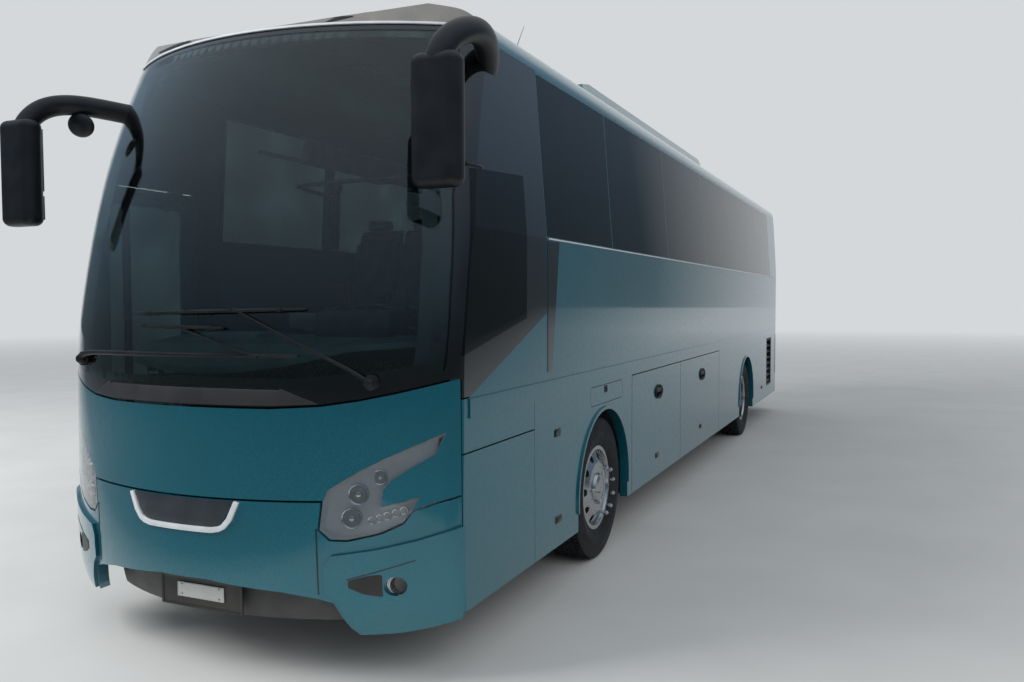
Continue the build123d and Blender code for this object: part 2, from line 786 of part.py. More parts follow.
# Towing sockets: a boss behind each round hole of the lip, its flat end recessed
for y in TOW_YS:
    lip -= rod((TOW_FACE_X - 50, y, TOW_Z), (NOSE_X, y, TOW_Z), TOW_HOLE_R)
    lip += rod((TOW_FACE_X - TOW_L, y, TOW_Z), (TOW_FACE_X, y, TOW_Z), TOW_HOLE_R + 8)
    lip -= rod((TOW_FACE_X - TOW_L - 10, y, TOW_Z), (TOW_FACE_X + 10, y, TOW_Z), TOW_R)
save("front_lip", lip)

# Entrance door on its swing arm
DOOR_WALL = 45
door_shell = NOSE_OUT - nose_body(DOOR_WALL)
door_cut = door_box(SEAM / 2, (-WIDTH, -HALF / 2))
door_window = block((DOOR_REAR_X + 110, DOOR_FRONT_X - 110), (-WIDTH, -HALF / 2), (1150, DOOR_TOP_Z - 110))
door_window = fillet(door_window.edges().filter_by(Axis.Y), 60)
door = door_shell & door_cut
door -= door_window
door += DOOR_MOULDING
save("front_door_glass", NOSE_GLASS & door_window)

# Swing arm of the entrance door: a post on the body, and necked arms to the door
DOOR_ARM_R = 20
DOOR_POST_X = DOOR_FRONT_X - 140
DOOR_POST_Y = -HALF + 155
DOOR_EYE_X = DOOR_POST_X - 420
DOOR_EYE_Y = DOOR_POST_Y
DOOR_NECK_X = DOOR_POST_X - 236
DOOR_NECK_Y = DOOR_POST_Y + 48
DOOR_ARM_ZS = (1060, DOOR_TOP_Z - 65)
EYE_H = 30
post_low = (DOOR_POST_X, DOOR_POST_Y, DOOR_ARM_ZS[0] - 40)
post_top = (DOOR_POST_X, DOOR_POST_Y, DOOR_ARM_ZS[1] + 40)
door_arm = rod(post_low, post_top, 24)
for z in DOOR_ARM_ZS:
    door_arm += rod((DOOR_POST_X, DOOR_POST_Y, z), (DOOR_NECK_X, DOOR_NECK_Y, z), DOOR_ARM_R)
    door_arm += Pos(DOOR_NECK_X, DOOR_NECK_Y, z) * Sphere(DOOR_ARM_R)
    door_arm += rod((DOOR_NECK_X, DOOR_NECK_Y, z), (DOOR_EYE_X, DOOR_EYE_Y, z), DOOR_ARM_R)
    door_arm += rod((DOOR_EYE_X, DOOR_EYE_Y, z - EYE_H), (DOOR_EYE_X, DOOR_EYE_Y, z + EYE_H), 22)
    for low in (z - EYE_H - 30, z + EYE_H + 5):
        lug_y = (-HALF + DOOR_WALL - 5, DOOR_EYE_Y + 25)
        door += block((DOOR_EYE_X - 25, DOOR_EYE_X + 25), lug_y, (low, low + 25))
save("front_door_arm", door_arm)
save("front_door", door)

# Rear of the coach
REAR_WINDOW = (900, 2250, 3020)
ENGINE_LID = (880, 640, 1600)
REAR_BUMPER_TOP_Z = 630
tail_wall = BODY_WALL & block((TAIL_X - 10, TAIL_X + TAIL_CORNER_R), WIDE, (REAR_BUMPER_TOP_Z, ROOF_SIDE_Z))
window_hole = block((TAIL_X - 50, TAIL_X + 300), (-REAR_WINDOW[0], REAR_WINDOW[0]), REAR_WINDOW[1:])
engine_hole = block(
    (TAIL_X - 50, TAIL_X + 300),
    (-ENGINE_LID[0], ENGINE_LID[0]),
    (REAR_BUMPER_TOP_Z - 1, ENGINE_LID[2]),
)
TAIL_LAMP = (1000, 1230, 800, 1500)
lamp_hole = block((TAIL_X - 50, TAIL_X + 190), TAIL_LAMP[:2], TAIL_LAMP[2:])
tail_wall = tail_wall - window_hole - engine_hole - lamp_hole - right(lamp_hole)
side_clear = block((TAIL_PANEL_X, 0), WIDE, (0, FLAP_TOP_Z))
save("rear_wall", tail_wall - side_clear)
window_fit = block(
    (TAIL_X - 50, TAIL_X + 300),
    (-REAR_WINDOW[0] + FIT, REAR_WINDOW[0] - FIT),
    (REAR_WINDOW[1] + FIT, REAR_WINDOW[2] - FIT),
)
save("rear_window", BODY_GLASS & window_fit)
lid_fit = block(
    (TAIL_X - 50, TAIL_X + 300),
    (-ENGINE_LID[0] + SEAM / 2, ENGINE_LID[0] - SEAM / 2),
    (ENGINE_LID[1], ENGINE_LID[2] - SEAM / 2),
)
save("engine_lid", BODY_FLAP & lid_fit)
lamp_fit = block(
    (TAIL_X - 50, TAIL_X + 190),
    (TAIL_LAMP[0] + FIT, TAIL_LAMP[1] - FIT),
    (TAIL_LAMP[2] + FIT, TAIL_LAMP[3] - FIT),
)
tail_lamp = BODY_WALL & lamp_fit
save("tail_lamps", tail_lamp, right(tail_lamp))
rear_bumper = BODY_WALL & block((TAIL_X, TAIL_PANEL_X), WIDE, (SKIRT_Z, REAR_BUMPER_TOP_Z))
save("rear_bumper", rear_bumper)

# Floors, wheel tubs and the luggage hold
HOLD_FRONT_X = FRONT_AXLE_X - TUB_R - 20
HOLD_REAR_X = REAR_AXLE_X + TUB_R + 20
INNER_HALF = HALF - WALL - FIT


AXLE_SLOT = 300
AXLE_SLOT_TOP_Z = 700


def tub(axle_x, y_in):
    """Half-round wheel tub open at the side and below."""
    outer = arch_cut(axle_x, (y_in - TUB_WALL, INNER_HALF), TUB_R + TUB_WALL)
    outer_x = (axle_x - TUB_R - TUB_WALL, axle_x + TUB_R + TUB_WALL)
    outer += block(outer_x, (y_in - TUB_WALL, INNER_HALF), (SKIRT_Z + 10, ARCH_Z))
    outer -= block((axle_x - 2 * TUB_R, axle_x + 2 * TUB_R), LEFT, (-500, SKIRT_Z + 10))
    inner = arch_cut(axle_x, (y_in, WIDTH), TUB_R)
    inner += block((axle_x - TUB_R, axle_x + TUB_R), (y_in, WIDTH), (-500, ARCH_Z))
    return outer - inner


deck = block((TAIL_X + WALL + 20, CAB_X), (-INNER_HALF, INNER_HALF), (DECK_Z - DECK_PLATE, DECK_Z))
deck_pieces = [deck & main_body(WALL + FIT)]
UNDER_DECK_Z = DECK_Z - DECK_PLATE - FIT
for side_x, depth in ((FRONT_AXLE_X, TUB_IN_Y), (REAR_AXLE_X, TUB_REAR_Y)):
    piece = tub(side_x, depth)
    piece -= block((side_x - AXLE_SLOT / 2, side_x + AXLE_SLOT / 2), (0, depth + 1), (0, AXLE_SLOT_TOP_Z))
    web_z = (ARCH_Z + TUB_R + 5, UNDER_DECK_Z)
    piece += block((side_x - 8, side_x + 8), (depth - TUB_WALL, INNER_HALF), web_z)
    deck_pieces += [piece, right(piece)]
for x in (HOLD_FRONT_X - BULKHEAD, HOLD_REAR_X):
    bulkhead_z = (HOLD_FLOOR_Z + FIT, UNDER_DECK_Z)
    deck_pieces.append(block((x, x + BULKHEAD), (-INNER_HALF + 50, INNER_HALF - 50), bulkhead_z))
save("deck_floor", *deck_pieces)

hold_y = (-HALF + FLAP_WALL + 20, HALF - FLAP_WALL - 20)
hold = block((HOLD_REAR_X, HOLD_FRONT_X), hold_y, (HOLD_FLOOR_Z - HOLD_PLATE, HOLD_FLOOR_Z))
save("hold_floor", hold)

# Driver's platform and entrance steps
STEP_IN_Y = -560
cab_front_x = FRONT_AXLE_X + 2130
cab = block((CAB_X + FIT, cab_front_x), (STEP_IN_Y, INNER_HALF - 5), (CAB_FLOOR_Z - 40, CAB_FLOOR_Z))
riser = block((CAB_X + FIT, CAB_X + 41), (-INNER_HALF + 5, INNER_HALF - 5), (CAB_FLOOR_Z - 40, DECK_Z))
steps = Part() + [cab, riser]
firewall_z = (CAB_FLOOR_Z - 40, LID_PIN_Z + 20)
firewall = block((cab_front_x, cab_front_x + 20), (STEP_IN_Y, INNER_HALF - 40), firewall_z)
steps += firewall
for side in (1, -1):
    y = side * (LID_ARM_Y + 35)
    steps += block((cab_front_x - 10, LID_PIN_X + 20), (y - 6, y + 6), (LID_PIN_Z - 60, LID_PIN_Z + 20))
    steps -= rod((LID_PIN_X, y - 10, LID_PIN_Z), (LID_PIN_X, y + 10, LID_PIN_Z), 12 + FIT)
STEP_ZS = (380, 590, 800)
for number, top in enumerate(STEP_ZS):
    y_low = -INNER_HALF + 60 + number * 190
    steps += block((DOOR_REAR_X + 20, DOOR_FRONT_X - 60), (y_low, STEP_IN_Y + 40), (top - 30, top))
    steps += block((DOOR_REAR_X + 20, DOOR_FRONT_X - 60), (y_low + 160, y_low + 190), (top - 30, top + 210))
save("entrance_floor", steps & nose_body(WALL + 2))


# Wheels: half profiles (radius, distance from the wheel's middle)
TYRE_SHOULDER = 32
TYRE_SECTION = (
    (BEAD_R, RIM_W / 2 - 22),
    (RIM_LIP_R + 4, RIM_W / 2 - 14),
    (RIM_LIP_R + 40, RIM_W / 2 + 14),
    (TYRE_R - 110, TYRE_W / 2),
    (TYRE_R - 35, TYRE_W / 2 - 12),
    (TYRE_R - 6, TYRE_W / 2 - 32),
    (TYRE_R, 0),
)


def turned(points, y):
    """A ring turned about the wheel axis from (radius, offset) points."""
    face = make_face(Polyline(*[(radius, offset, 0) for radius, offset in points], close=True))
    return Pos(0, y, 0) * revolve(face, Axis.Y, 360)


def tyre():
    near = list(TYRE_SECTION)
    far = [(radius, -offset) for radius, offset in reversed(TYRE_SECTION[:-1])]
    return turned(near + far, 0)


SPINDLE_R = 45
HUB_R = 130
HAND_HOLES = 10
HAND_HOLE_R = 26
DISC_T = 14
FRONT_DISH = 122


def rim(dish):
    """Wheel with its disc dished outwards to the given mounting plane."""
    lip = RIM_W / 2
    barrel = [
        (RIM_LIP_R, lip),
        (RIM_LIP_R, lip - 12),
        (BEAD_R - 1, lip - 14),
        (BEAD_R - 1, -lip + 14),
        (RIM_LIP_R, -lip + 12),
        (RIM_LIP_R, -lip),
        (BEAD_R - 16, -lip),
        (BEAD_R - 22, -lip + 20),
        (BEAD_R - 22, lip - 20),
        (BEAD_R - 16, lip),
    ]
    disc = [
        (SPINDLE_R + FIT, dish - DISC_T),
        (172, dish - DISC_T),
        (BEAD_R - 20, 56),
        (BEAD_R - 20, 80),
        (180, dish),
        (SPINDLE_R + FIT, dish),
    ]
    shape = turned(barrel, 0) + turned(disc, 0)
    for number in range(HAND_HOLES):
        hole = rod((222, 0, 0), (222, dish + 60, 0), HAND_HOLE_R)
        shape -= Rot(0, 360 * number / HAND_HOLES, 0) * hole
    return shape


TYRE = tyre()
hub_cap = turned(
    [
        (0, FRONT_DISH - 2),
        (SPINDLE_R + 60, FRONT_DISH - 2),
        (SPINDLE_R + 52, FRONT_DISH + 18),
        (SPINDLE_R + 20, FRONT_DISH + 26),
        (0, FRONT_DISH + 28),
    ],
    0,
)
front_wheel = Pos(FRONT_AXLE_X, FRONT_WHEEL_Y, TYRE_R) * (rim(FRONT_DISH) + hub_cap)
front_tyre = Pos(FRONT_AXLE_X, FRONT_WHEEL_Y, TYRE_R) * TYRE
save("front_wheel_left", front_wheel)
save("front_wheel_right", right(front_wheel))
save("front_tyre_left", front_tyre)
save("front_tyre_right", right(front_tyre))

# Rear twins: the inner wheel as in front, the outer turned round against it
TWIN_DISH = TWIN_PITCH / 2
twin_rim = rim(TWIN_DISH)
drive_hub = turned(
    [
        (0, -TWIN_DISH + DISC_T - 4),
        (HUB_R, -TWIN_DISH + DISC_T - 4),
        (HUB_R - 10, 20),
        (HUB_R - 35, 45),
        (0, 50),
    ],
    0,
)
twin = Pos(REAR_AXLE_X, REAR_WHEEL_Y, TYRE_R) * (mirror(twin_rim, about=Plane.XZ) + drive_hub)
twin += Pos(REAR_AXLE_X, REAR_WHEEL_Y - TWIN_PITCH, TYRE_R) * twin_rim
save("rear_wheels_left", twin)
save("rear_wheels_right", right(twin))
rear_tyre = Pos(REAR_AXLE_X, REAR_WHEEL_Y, TYRE_R) * TYRE
rear_tyre_in = Pos(REAR_AXLE_X, REAR_WHEEL_Y - TWIN_PITCH, TYRE_R) * TYRE
save("rear_tyres_left", rear_tyre, rear_tyre_in)
save("rear_tyres_right", right(rear_tyre), right(rear_tyre_in))

# Front axle beam with its eyes, knuckles with their pins and spindles
BEAM_Z = 430
BEAM_H = 90
EYE_R = 52
EYE_LOW_Z = 455
EYE_TOP_Z = 555
PIN_R = 22
LUG_H = 45
beam_x = (FRONT_AXLE_X - 45, FRONT_AXLE_X + 45)
beam = block(beam_x, (-KINGPIN_Y + 120, KINGPIN_Y - 120), (BEAM_Z - BEAM_H / 2, BEAM_Z + BEAM_H / 2))
beam_end = block(beam_x, (KINGPIN_Y - 200, KINGPIN_Y), (EYE_LOW_Z + 5, EYE_TOP_Z - 5))
beam += [beam_end, right(beam_end)]
for side in (1, -1):
    eye_y = side * KINGPIN_Y
    beam += rod((FRONT_AXLE_X, eye_y, EYE_LOW_Z), (FRONT_AXLE_X, eye_y, EYE_TOP_Z), EYE_R)
for side in (1, -1):
    eye_y = side * KINGPIN_Y
    beam -= rod((FRONT_AXLE_X, eye_y, EYE_LOW_Z - 5), (FRONT_AXLE_X, eye_y, EYE_TOP_Z + 5), PIN_R + FIT / 2)
# Air springs and their seats stand on the beam
SPRING_Y = 425
SPRING_R = 115
RAIL_LOW_Z = 760
for side in (1, -1):
    spring_y = side * SPRING_Y
    beam += rod((FRONT_AXLE_X, spring_y, BEAM_Z), (FRONT_AXLE_X, spring_y, RAIL_LOW_Z), SPRING_R)
save("front_axle_beam", beam)

KNUCKLE_BACK = 18


def knuckle():
    """Left knuckle: forked carrier round the beam's eye, pin and spindle."""
    y = KINGPIN_Y
    carrier = rod((FRONT_AXLE_X, y, EYE_LOW_Z - LUG_H), (FRONT_AXLE_X, y, EYE_LOW_Z - 2), EYE_R)
    carrier += rod((FRONT_AXLE_X, y, EYE_TOP_Z + 2), (FRONT_AXLE_X, y, EYE_TOP_Z + LUG_H), EYE_R)
    carrier += rod((FRONT_AXLE_X, y, EYE_LOW_Z - LUG_H), (FRONT_AXLE_X, y, EYE_TOP_Z + LUG_H), PIN_R)
    plate = block(
        (FRONT_AXLE_X - EYE_R, FRONT_AXLE_X + EYE_R),
        (y + EYE_R + 4, y + EYE_R + 4 + KNUCKLE_BACK),
        (EYE_LOW_Z - LUG_H, EYE_TOP_Z + LUG_H),
    )
    carrier += plate
    for low in (EYE_LOW_Z - LUG_H, EYE_TOP_Z + 2):
        lug_x = (FRONT_AXLE_X - EYE_R, FRONT_AXLE_X + EYE_R)
        carrier += block(lug_x, (y, y + EYE_R + 10), (low, low + LUG_H - 2))
    tip = FRONT_WHEEL_Y + FRONT_DISH - DISC_T
    carrier += rod((FRONT_AXLE_X, y + EYE_R + 10, TYRE_R), (FRONT_AXLE_X, tip, TYRE_R), SPINDLE_R)
    return carrier


KNUCKLE = knuckle()
save("knuckle_left", KNUCKLE)
save("knuckle_right", right(KNUCKLE))

# Rear drive axle
AXLE_TUBE_R = 85
DIFF_R = 210
axle = rod((REAR_AXLE_X, -600, TYRE_R), (REAR_AXLE_X, 600, TYRE_R), AXLE_TUBE_R)
spindle_tip = REAR_WHEEL_Y - TWIN_DISH + DISC_T - 6
axle += rod((REAR_AXLE_X, -spindle_tip, TYRE_R), (REAR_AXLE_X, spindle_tip, TYRE_R), SPINDLE_R)
axle += Pos(REAR_AXLE_X, 0, TYRE_R) * Sphere(DIFF_R)
axle += rod((REAR_AXLE_X - 420, 0, TYRE_R), (REAR_AXLE_X, 0, TYRE_R), 90)
for side in (1, -1):
    arm_y = (side * SPRING_Y - 45, side * SPRING_Y + 45)
    axle += block((REAR_AXLE_X - 420, REAR_AXLE_X + 420), arm_y, (TYRE_R - 95, TYRE_R - 40))
    for end in (-360, 360):
        foot = (REAR_AXLE_X + end, side * SPRING_Y, TYRE_R - 60)
        head = (REAR_AXLE_X + end, side * SPRING_Y, RAIL_LOW_Z)
        axle += rod(foot, head, SPRING_R - 20)
save("rear_axle", axle)

# Chassis frame: rails over both axles, joined to the hold floor's frame
RAIL_H = 160
RAIL_W = 80
RAIL_Y = 480
FRAME_FRONT_X = NOSE_X - 420
FRAME_TAIL_X = TAIL_X + 320
CROSS_XS = (
    FRAME_FRONT_X - 60,
    FRONT_AXLE_X + 760,
    FRONT_AXLE_X,
    REAR_AXLE_X,
    REAR_AXLE_X - 700,
    FRAME_TAIL_X + 40,
)
RAIL_TOP_Z = RAIL_LOW_Z + RAIL_H
HOLD_BEAM_TOP_Z = HOLD_FLOOR_Z - HOLD_PLATE
HOLD_BEAM_LOW_Z = HOLD_BEAM_TOP_Z - 70
BEAM_W = 70
POST_D = 60
PAD = 120
PAD_H = 40
PAD_Y = 700


def subframe(cross_xs, rail_x, post_x):
    """Two rails with their cross members, and the posts that stand on the hold's frame."""
    piece = Part()
    for x in cross_xs:
        piece += block((x - 40, x + 40), (-RAIL_Y, RAIL_Y), (RAIL_LOW_Z + 20, RAIL_TOP_Z - 20))
    for side in (1, -1):
        y = (side * RAIL_Y - RAIL_W / 2, side * RAIL_Y + RAIL_W / 2)
        piece += block(rail_x, y, (RAIL_LOW_Z, RAIL_TOP_Z))
        piece += block(post_x, y, (HOLD_BEAM_TOP_Z + FIT, RAIL_TOP_Z))
    return piece


def hold_frame():
    """Ladder frame under the hold, with its jacking pads."""
    piece = Part()
    for side in (1, -1):
        y = (side * RAIL_Y - RAIL_W / 2, side * RAIL_Y + RAIL_W / 2)
        beam_x = (HOLD_REAR_X - POST_D, HOLD_FRONT_X + POST_D)
        piece += block(beam_x, y, (HOLD_BEAM_LOW_Z, HOLD_BEAM_TOP_Z))
    for x in (HOLD_REAR_X + 250, (HOLD_REAR_X + HOLD_FRONT_X) / 2, HOLD_FRONT_X - 250):
        beam_x = (x - BEAM_W / 2, x + BEAM_W / 2)
        piece += block(beam_x, (-HALF + 120, HALF - 120), (HOLD_BEAM_LOW_Z, HOLD_BEAM_TOP_Z))
    for x in (HOLD_REAR_X + 250, HOLD_FRONT_X - 250):
        for y in (-PAD_Y, PAD_Y):
            pad_z = (HOLD_BEAM_LOW_Z - PAD_H, HOLD_BEAM_LOW_Z + 10)
            piece += block((x - PAD / 2, x + PAD / 2), (y - PAD / 2, y + PAD / 2), pad_z)
    return piece


save(
    "chassis_frame",
    subframe(CROSS_XS[:3], (HOLD_FRONT_X + FIT, FRAME_FRONT_X), (HOLD_FRONT_X + FIT, HOLD_FRONT_X + POST_D)),
    subframe(CROSS_XS[3:], (FRAME_TAIL_X, HOLD_REAR_X - FIT), (HOLD_REAR_X - POST_D, HOLD_REAR_X - FIT)),
    hold_frame(),
)

ENGINE_X = (FRAME_TAIL_X + 90, TAIL_X + 1750)
engine = block(ENGINE_X, (-RAIL_Y + RAIL_W / 2, RAIL_Y - RAIL_W / 2), (480, 1230))
save("engine_block", engine)

# Steering wheel and dashboard
WHEEL_CENTRE = (FRONT_AXLE_X + 1820, 620, 1700)
WHEEL_TILT = -35
STEER_R = 230
dash_region = side_prism(
    [
        (FRONT_AXLE_X + 1980, 1300),
        (FRONT_AXLE_X + 1980, 1600),
        (FRONT_AXLE_X + 2120, 1670),
        (FRONT_AXLE_X + 2440, 1630),
        (NOSE_X, 1440),
        (NOSE_X, 1410),
        (FRONT_AXLE_X + 2440, 1600),
        (FRONT_AXLE_X + 2120, 1640),
        (FRONT_AXLE_X + 2010, 1580),
        (FRONT_AXLE_X + 2010, 1300),
    ],
    (-HALF, HALF),
)
dash = nose_body(WALL + 60) & dash_region
dash -= block((0, NOSE_X), (-HALF, STEP_IN_Y + 60), (0, 3000))
column = Pos(*WHEEL_CENTRE) * Rot(0, WHEEL_TILT, 0) * (Pos(0, 0, -260) * Cylinder(38, 440))
save("dashboard", dash + column)
wheel_ring = Torus(STEER_R - 14, 14)
wheel_hub = Pos(0, 0, -20) * Cylinder(60, 36)
spokes = Pos(0, 0, -12) * (Box(2 * STEER_R - 40, 36, 14) + Box(36, 2 * STEER_R - 40, 14))
save("steering_wheel", Pos(*WHEEL_CENTRE) * Rot(0, WHEEL_TILT, 0) * (wheel_ring + wheel_hub + spokes))

# Seats
SEAT_H = 430
SEAT_D = 450
SEAT_W = 440
BACK_H = 720
BACK_T = 110
BACK_LEAN = 12


def double_seat(x, y, floor_z, count):
    """A bench of bucket seats facing forward, on one pedestal."""
    width = SEAT_W * count
    cushion = block((0, SEAT_D), (-width / 2, width / 2), (SEAT_H - 110, SEAT_H))
    pedestal = block((100, 340), (-40, 40), (0, SEAT_H - 100))
    seat = cushion + pedestal
    for number in range(count):
        y_mid = (number - (count - 1) / 2) * SEAT_W
        back = block((-BACK_T, 0), (y_mid - SEAT_W / 2 + 10, y_mid + SEAT_W / 2 - 10), (-60, BACK_H))
        head = block((-BACK_T + 10, -10), (y_mid - 130, y_mid + 130), (BACK_H - 10, BACK_H + 90))
        seat += Pos(20, 0, SEAT_H - 40) * Rot(0, -BACK_LEAN, 0) * (back + head)
    return Pos(x, y, floor_z) * seat


SEAT_ROWS = 12
SEAT_PITCH = 790
SEAT_TAIL_X = TAIL_X + 420
SEAT_Y = 690
benches = []
for row in range(SEAT_ROWS):
    x = SEAT_TAIL_X + row * SEAT_PITCH
    benches.append(double_seat(x, SEAT_Y, DECK_Z, 2))
    benches.append(double_seat(x, -SEAT_Y, DECK_Z, 2))
save("passenger_seats", *benches)
save("driver_seat", double_seat(FRONT_AXLE_X + 1180, WHEEL_CENTRE[1], CAB_FLOOR_Z, 1))

# Luggage racks over the seats
RACK_X = (TAIL_X + 500, CAB_X - 100)
rack = front_prism(
    [(700, 2860), (760, 2830), (INNER_HALF - 60, 2930), (INNER_HALF - 60, 2960), (760, 2870), (730, 2990), (700, 2990)],
    RACK_X,
)
rack = rack & main_body(WALL + FIT)
save("luggage_racks", rack, right(rack))

# Curtains gathered beside the pillars
CURTAIN_W = 170
CURTAIN_T = 40
curtains = []
for edge in PANE_EDGES[1:-1]:
    x = FRONT_AXLE_X + edge
    strip_box = block((x - CURTAIN_W / 2, x + CURTAIN_W / 2), LEFT, (SILL_Z + 60, 2820))
    cloth = (main_body(WALL + 20) - main_body(WALL + 20 + CURTAIN_T)) & strip_box
    curtains += [cloth, right(cloth)]
save("curtains", *curtains)

# Mirrors: a curved arm from the post down to a tall rounded housing
MIRROR_SIZE = (130, 250, 600)
MIRROR_R = 58
MIRROR_END_R = 45
LEFT_MIRROR_ARM = (
    (FRONT_AXLE_X + 1640, 1120, 3050),
    (FRONT_AXLE_X + 1900, 1260, 3125),
    (FRONT_AXLE_X + 2250, 1325, 3105),
    (FRONT_AXLE_X + 2440, 1289, 2960),
    (FRONT_AXLE_X + 2450, 1279, 2860),
)
LEFT_MIRROR = (FRONT_AXLE_X + 2450, 1279, 2655)
RIGHT_MIRROR_ARM = (
    (FRONT_AXLE_X + 1980, -950, 2950),
    (FRONT_AXLE_X + 2180, -1180, 2990),
    (FRONT_AXLE_X + 2380, -1360, 2950),
    (FRONT_AXLE_X + 2460, -1396, 2840),
    (FRONT_AXLE_X + 2470, -1401, 2760),
)
RIGHT_MIRROR = (FRONT_AXLE_X + 2475, -1406, 2580)
KERB_MIRROR = (FRONT_AXLE_X + 2230, -1215, 2880)


def mirror_unit(points, arm_r, centre):
    """A swept arm joined to its housing."""
    path = Spline(*points)
    arm = sweep(Plane(origin=path @ 0, z_dir=path % 0) * Circle(arm_r), path=path)
    housing = fillet(Box(*MIRROR_SIZE).edges().filter_by(Axis.Z), MIRROR_R)
    ends = housing.faces().filter_by(Axis.Z).edges()
    return arm + Pos(*centre) * fillet(ends, MIRROR_END_R)


kerb_mirror = Pos(*KERB_MIRROR) * Rot(0, 20, 0) * scale(Sphere(70), (0.5, 1.4, 1))
mirror_left = mirror_unit(LEFT_MIRROR_ARM, 62, LEFT_MIRROR)
mirror_right = mirror_unit(RIGHT_MIRROR_ARM, 58, RIGHT_MIRROR) + kerb_mirror
save("mirrors", mirror_left - NOSE_OUT, mirror_right - NOSE_OUT)

# Wipers lie just in front of the glass
WIPER_LIFT = 14
wiper_skin = nose_body(-WIPER_LIFT - 16) - nose_body(-WIPER_LIFT)
# Arms and blades in front view: y and z at each end, width
WIPER_RODS = (
    (968, 1470, 307, 1815, 16),
    (655, 1809, -318, 1790, 20),
    (-870, 1540, 637, 1591, 30),
    (263, 1720, -293, 1730, 20),
    (450, 1585, 0, 1725, 16),
)
wipers = []
for y1, z1, y2, z2, width in WIPER_RODS:
    run = Vector(y2 - y1, z2 - z1).normalized() * width / 2
    bar = front_prism(
        [(y1 - run.Y, z1 + run.X), (y2 - run.Y, z2 + run.X), (y2 + run.Y, z2 - run.X), (y1 + run.Y, z1 - run.X)],
        (FRONT_AXLE_X + 2000, NOSE_X + 100),
    )
    wipers.append(wiper_skin & bar)
pivots = [
    rod((NOSE_X - 150, y, z), (NOSE_X + 10, y, z), 16) for y, z in ((968, 1470), (-870, 1540))
]
wiper_set = Part() + wipers + [pivot - NOSE_OUT for pivot in pivots]
save("wipers", wiper_set)
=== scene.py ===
import json
from math import cos, pi, radians, sin

import bpy
from mathutils import Matrix, Vector

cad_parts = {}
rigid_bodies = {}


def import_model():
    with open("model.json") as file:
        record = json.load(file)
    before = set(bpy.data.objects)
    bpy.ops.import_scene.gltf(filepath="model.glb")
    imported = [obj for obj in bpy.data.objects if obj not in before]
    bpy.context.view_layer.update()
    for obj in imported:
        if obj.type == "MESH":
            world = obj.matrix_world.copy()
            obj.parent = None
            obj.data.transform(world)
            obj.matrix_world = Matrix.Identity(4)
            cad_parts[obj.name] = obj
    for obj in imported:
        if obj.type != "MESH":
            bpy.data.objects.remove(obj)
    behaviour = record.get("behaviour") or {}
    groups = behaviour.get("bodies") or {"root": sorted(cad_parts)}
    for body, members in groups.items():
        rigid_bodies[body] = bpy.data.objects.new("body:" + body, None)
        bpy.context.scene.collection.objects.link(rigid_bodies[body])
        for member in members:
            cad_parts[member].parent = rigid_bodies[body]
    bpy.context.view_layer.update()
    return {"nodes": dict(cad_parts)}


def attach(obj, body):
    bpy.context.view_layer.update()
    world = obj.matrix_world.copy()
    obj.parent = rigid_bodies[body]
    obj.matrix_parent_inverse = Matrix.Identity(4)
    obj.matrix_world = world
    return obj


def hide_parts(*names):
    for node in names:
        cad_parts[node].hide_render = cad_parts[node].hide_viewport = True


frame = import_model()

# Two-axle high-deck coach. Metres, +X forward, +Y to the coach's left, +Z up.
FRONT_AXLE_X = 3.35
REAR_AXLE_X = -2.90
HALF_WIDTH = 1.275
TAIL_X = -6.10
TYRE_R = 0.505
SIDES = (("left", 1), ("right", -1))

AHEAD = Vector((1, 0, 0))
BACK = Vector((-1, 0, 0))
LEFT = Vector((0, 1, 0))
RIGHT = Vector((0, -1, 0))
UP = Vector((0, 0, 1))
DOWN = Vector((0, 0, -1))
# Rays start and sheets begin this far out, clear of the coach all round
FAR = 9

NODES = frame["nodes"]
BUMPER = NODES["front_bumper"]
CAP = NODES["roof_front_cap"]
MASK = NODES["windscreen_frame"]
SCREEN = NODES["windscreen"]
WALLS = NODES["side_walls"]

for thing in bpy.data.objects:
    thing.select_set(False)


# Shader helpers
def linear(hex_colour):
    """An sRGB hex colour as the linear RGBA that the nodes take."""
    channels = []
    for place in (1, 3, 5):
        value = int(hex_colour[place:place + 2], 16) / 255
        channels.append(value / 12.92 if value <= 0.04045 else ((value + 0.055) / 1.055) ** 2.4)
    return (*channels, 1)


def feed(made, inputs):
    """Sets a node's inputs to values, or links them to sockets; a node stands for its first live output."""
    for name, value in inputs.items():
        if isinstance(value, bpy.types.Node):
            value = next(output for output in value.outputs if output.enabled)
        if isinstance(value, bpy.types.NodeSocket):
            made.id_data.links.new(value, made.inputs[name])
        else:
            made.inputs[name].default_value = value


def node(tree, kind, inputs=None, stops=(), **settings):
    """Adds a node with its settings, its inputs and, on a colour ramp, its (position, hex colour) stops."""
    made = tree.nodes.new("ShaderNode" + kind)
    for name, value in settings.items():
        setattr(made, name, value)
    if stops:
        points = made.color_ramp.elements
        while len(points) < len(stops):
            points.new(0.5)
        for point, (position, colour) in zip(points, stops):
            point.position = position
            point.color = linear(colour)
    feed(made, inputs or {})
    return made


# Settings of a Mix node for colours, and the numbers of its two colour inputs
COLOURS = {"data_type": "RGBA"}
FIRST, SECOND = 6, 7


def per_mm(size):
    """Texture scale for a pattern whose features are this many millimetres across."""
    return 1000 / size


def new_material(name, sockets=None):
    """A material with one principled shader; returns it, its tree, the shader and object coordinates."""
    made = bpy.data.materials.new(name)
    made.use_nodes = True
    tree = made.node_tree
    shader = tree.nodes["Principled BSDF"]
    feed(shader, sockets or {})
    place = node(tree, "TexCoord").outputs["Object"]
    return made, tree, shader, place


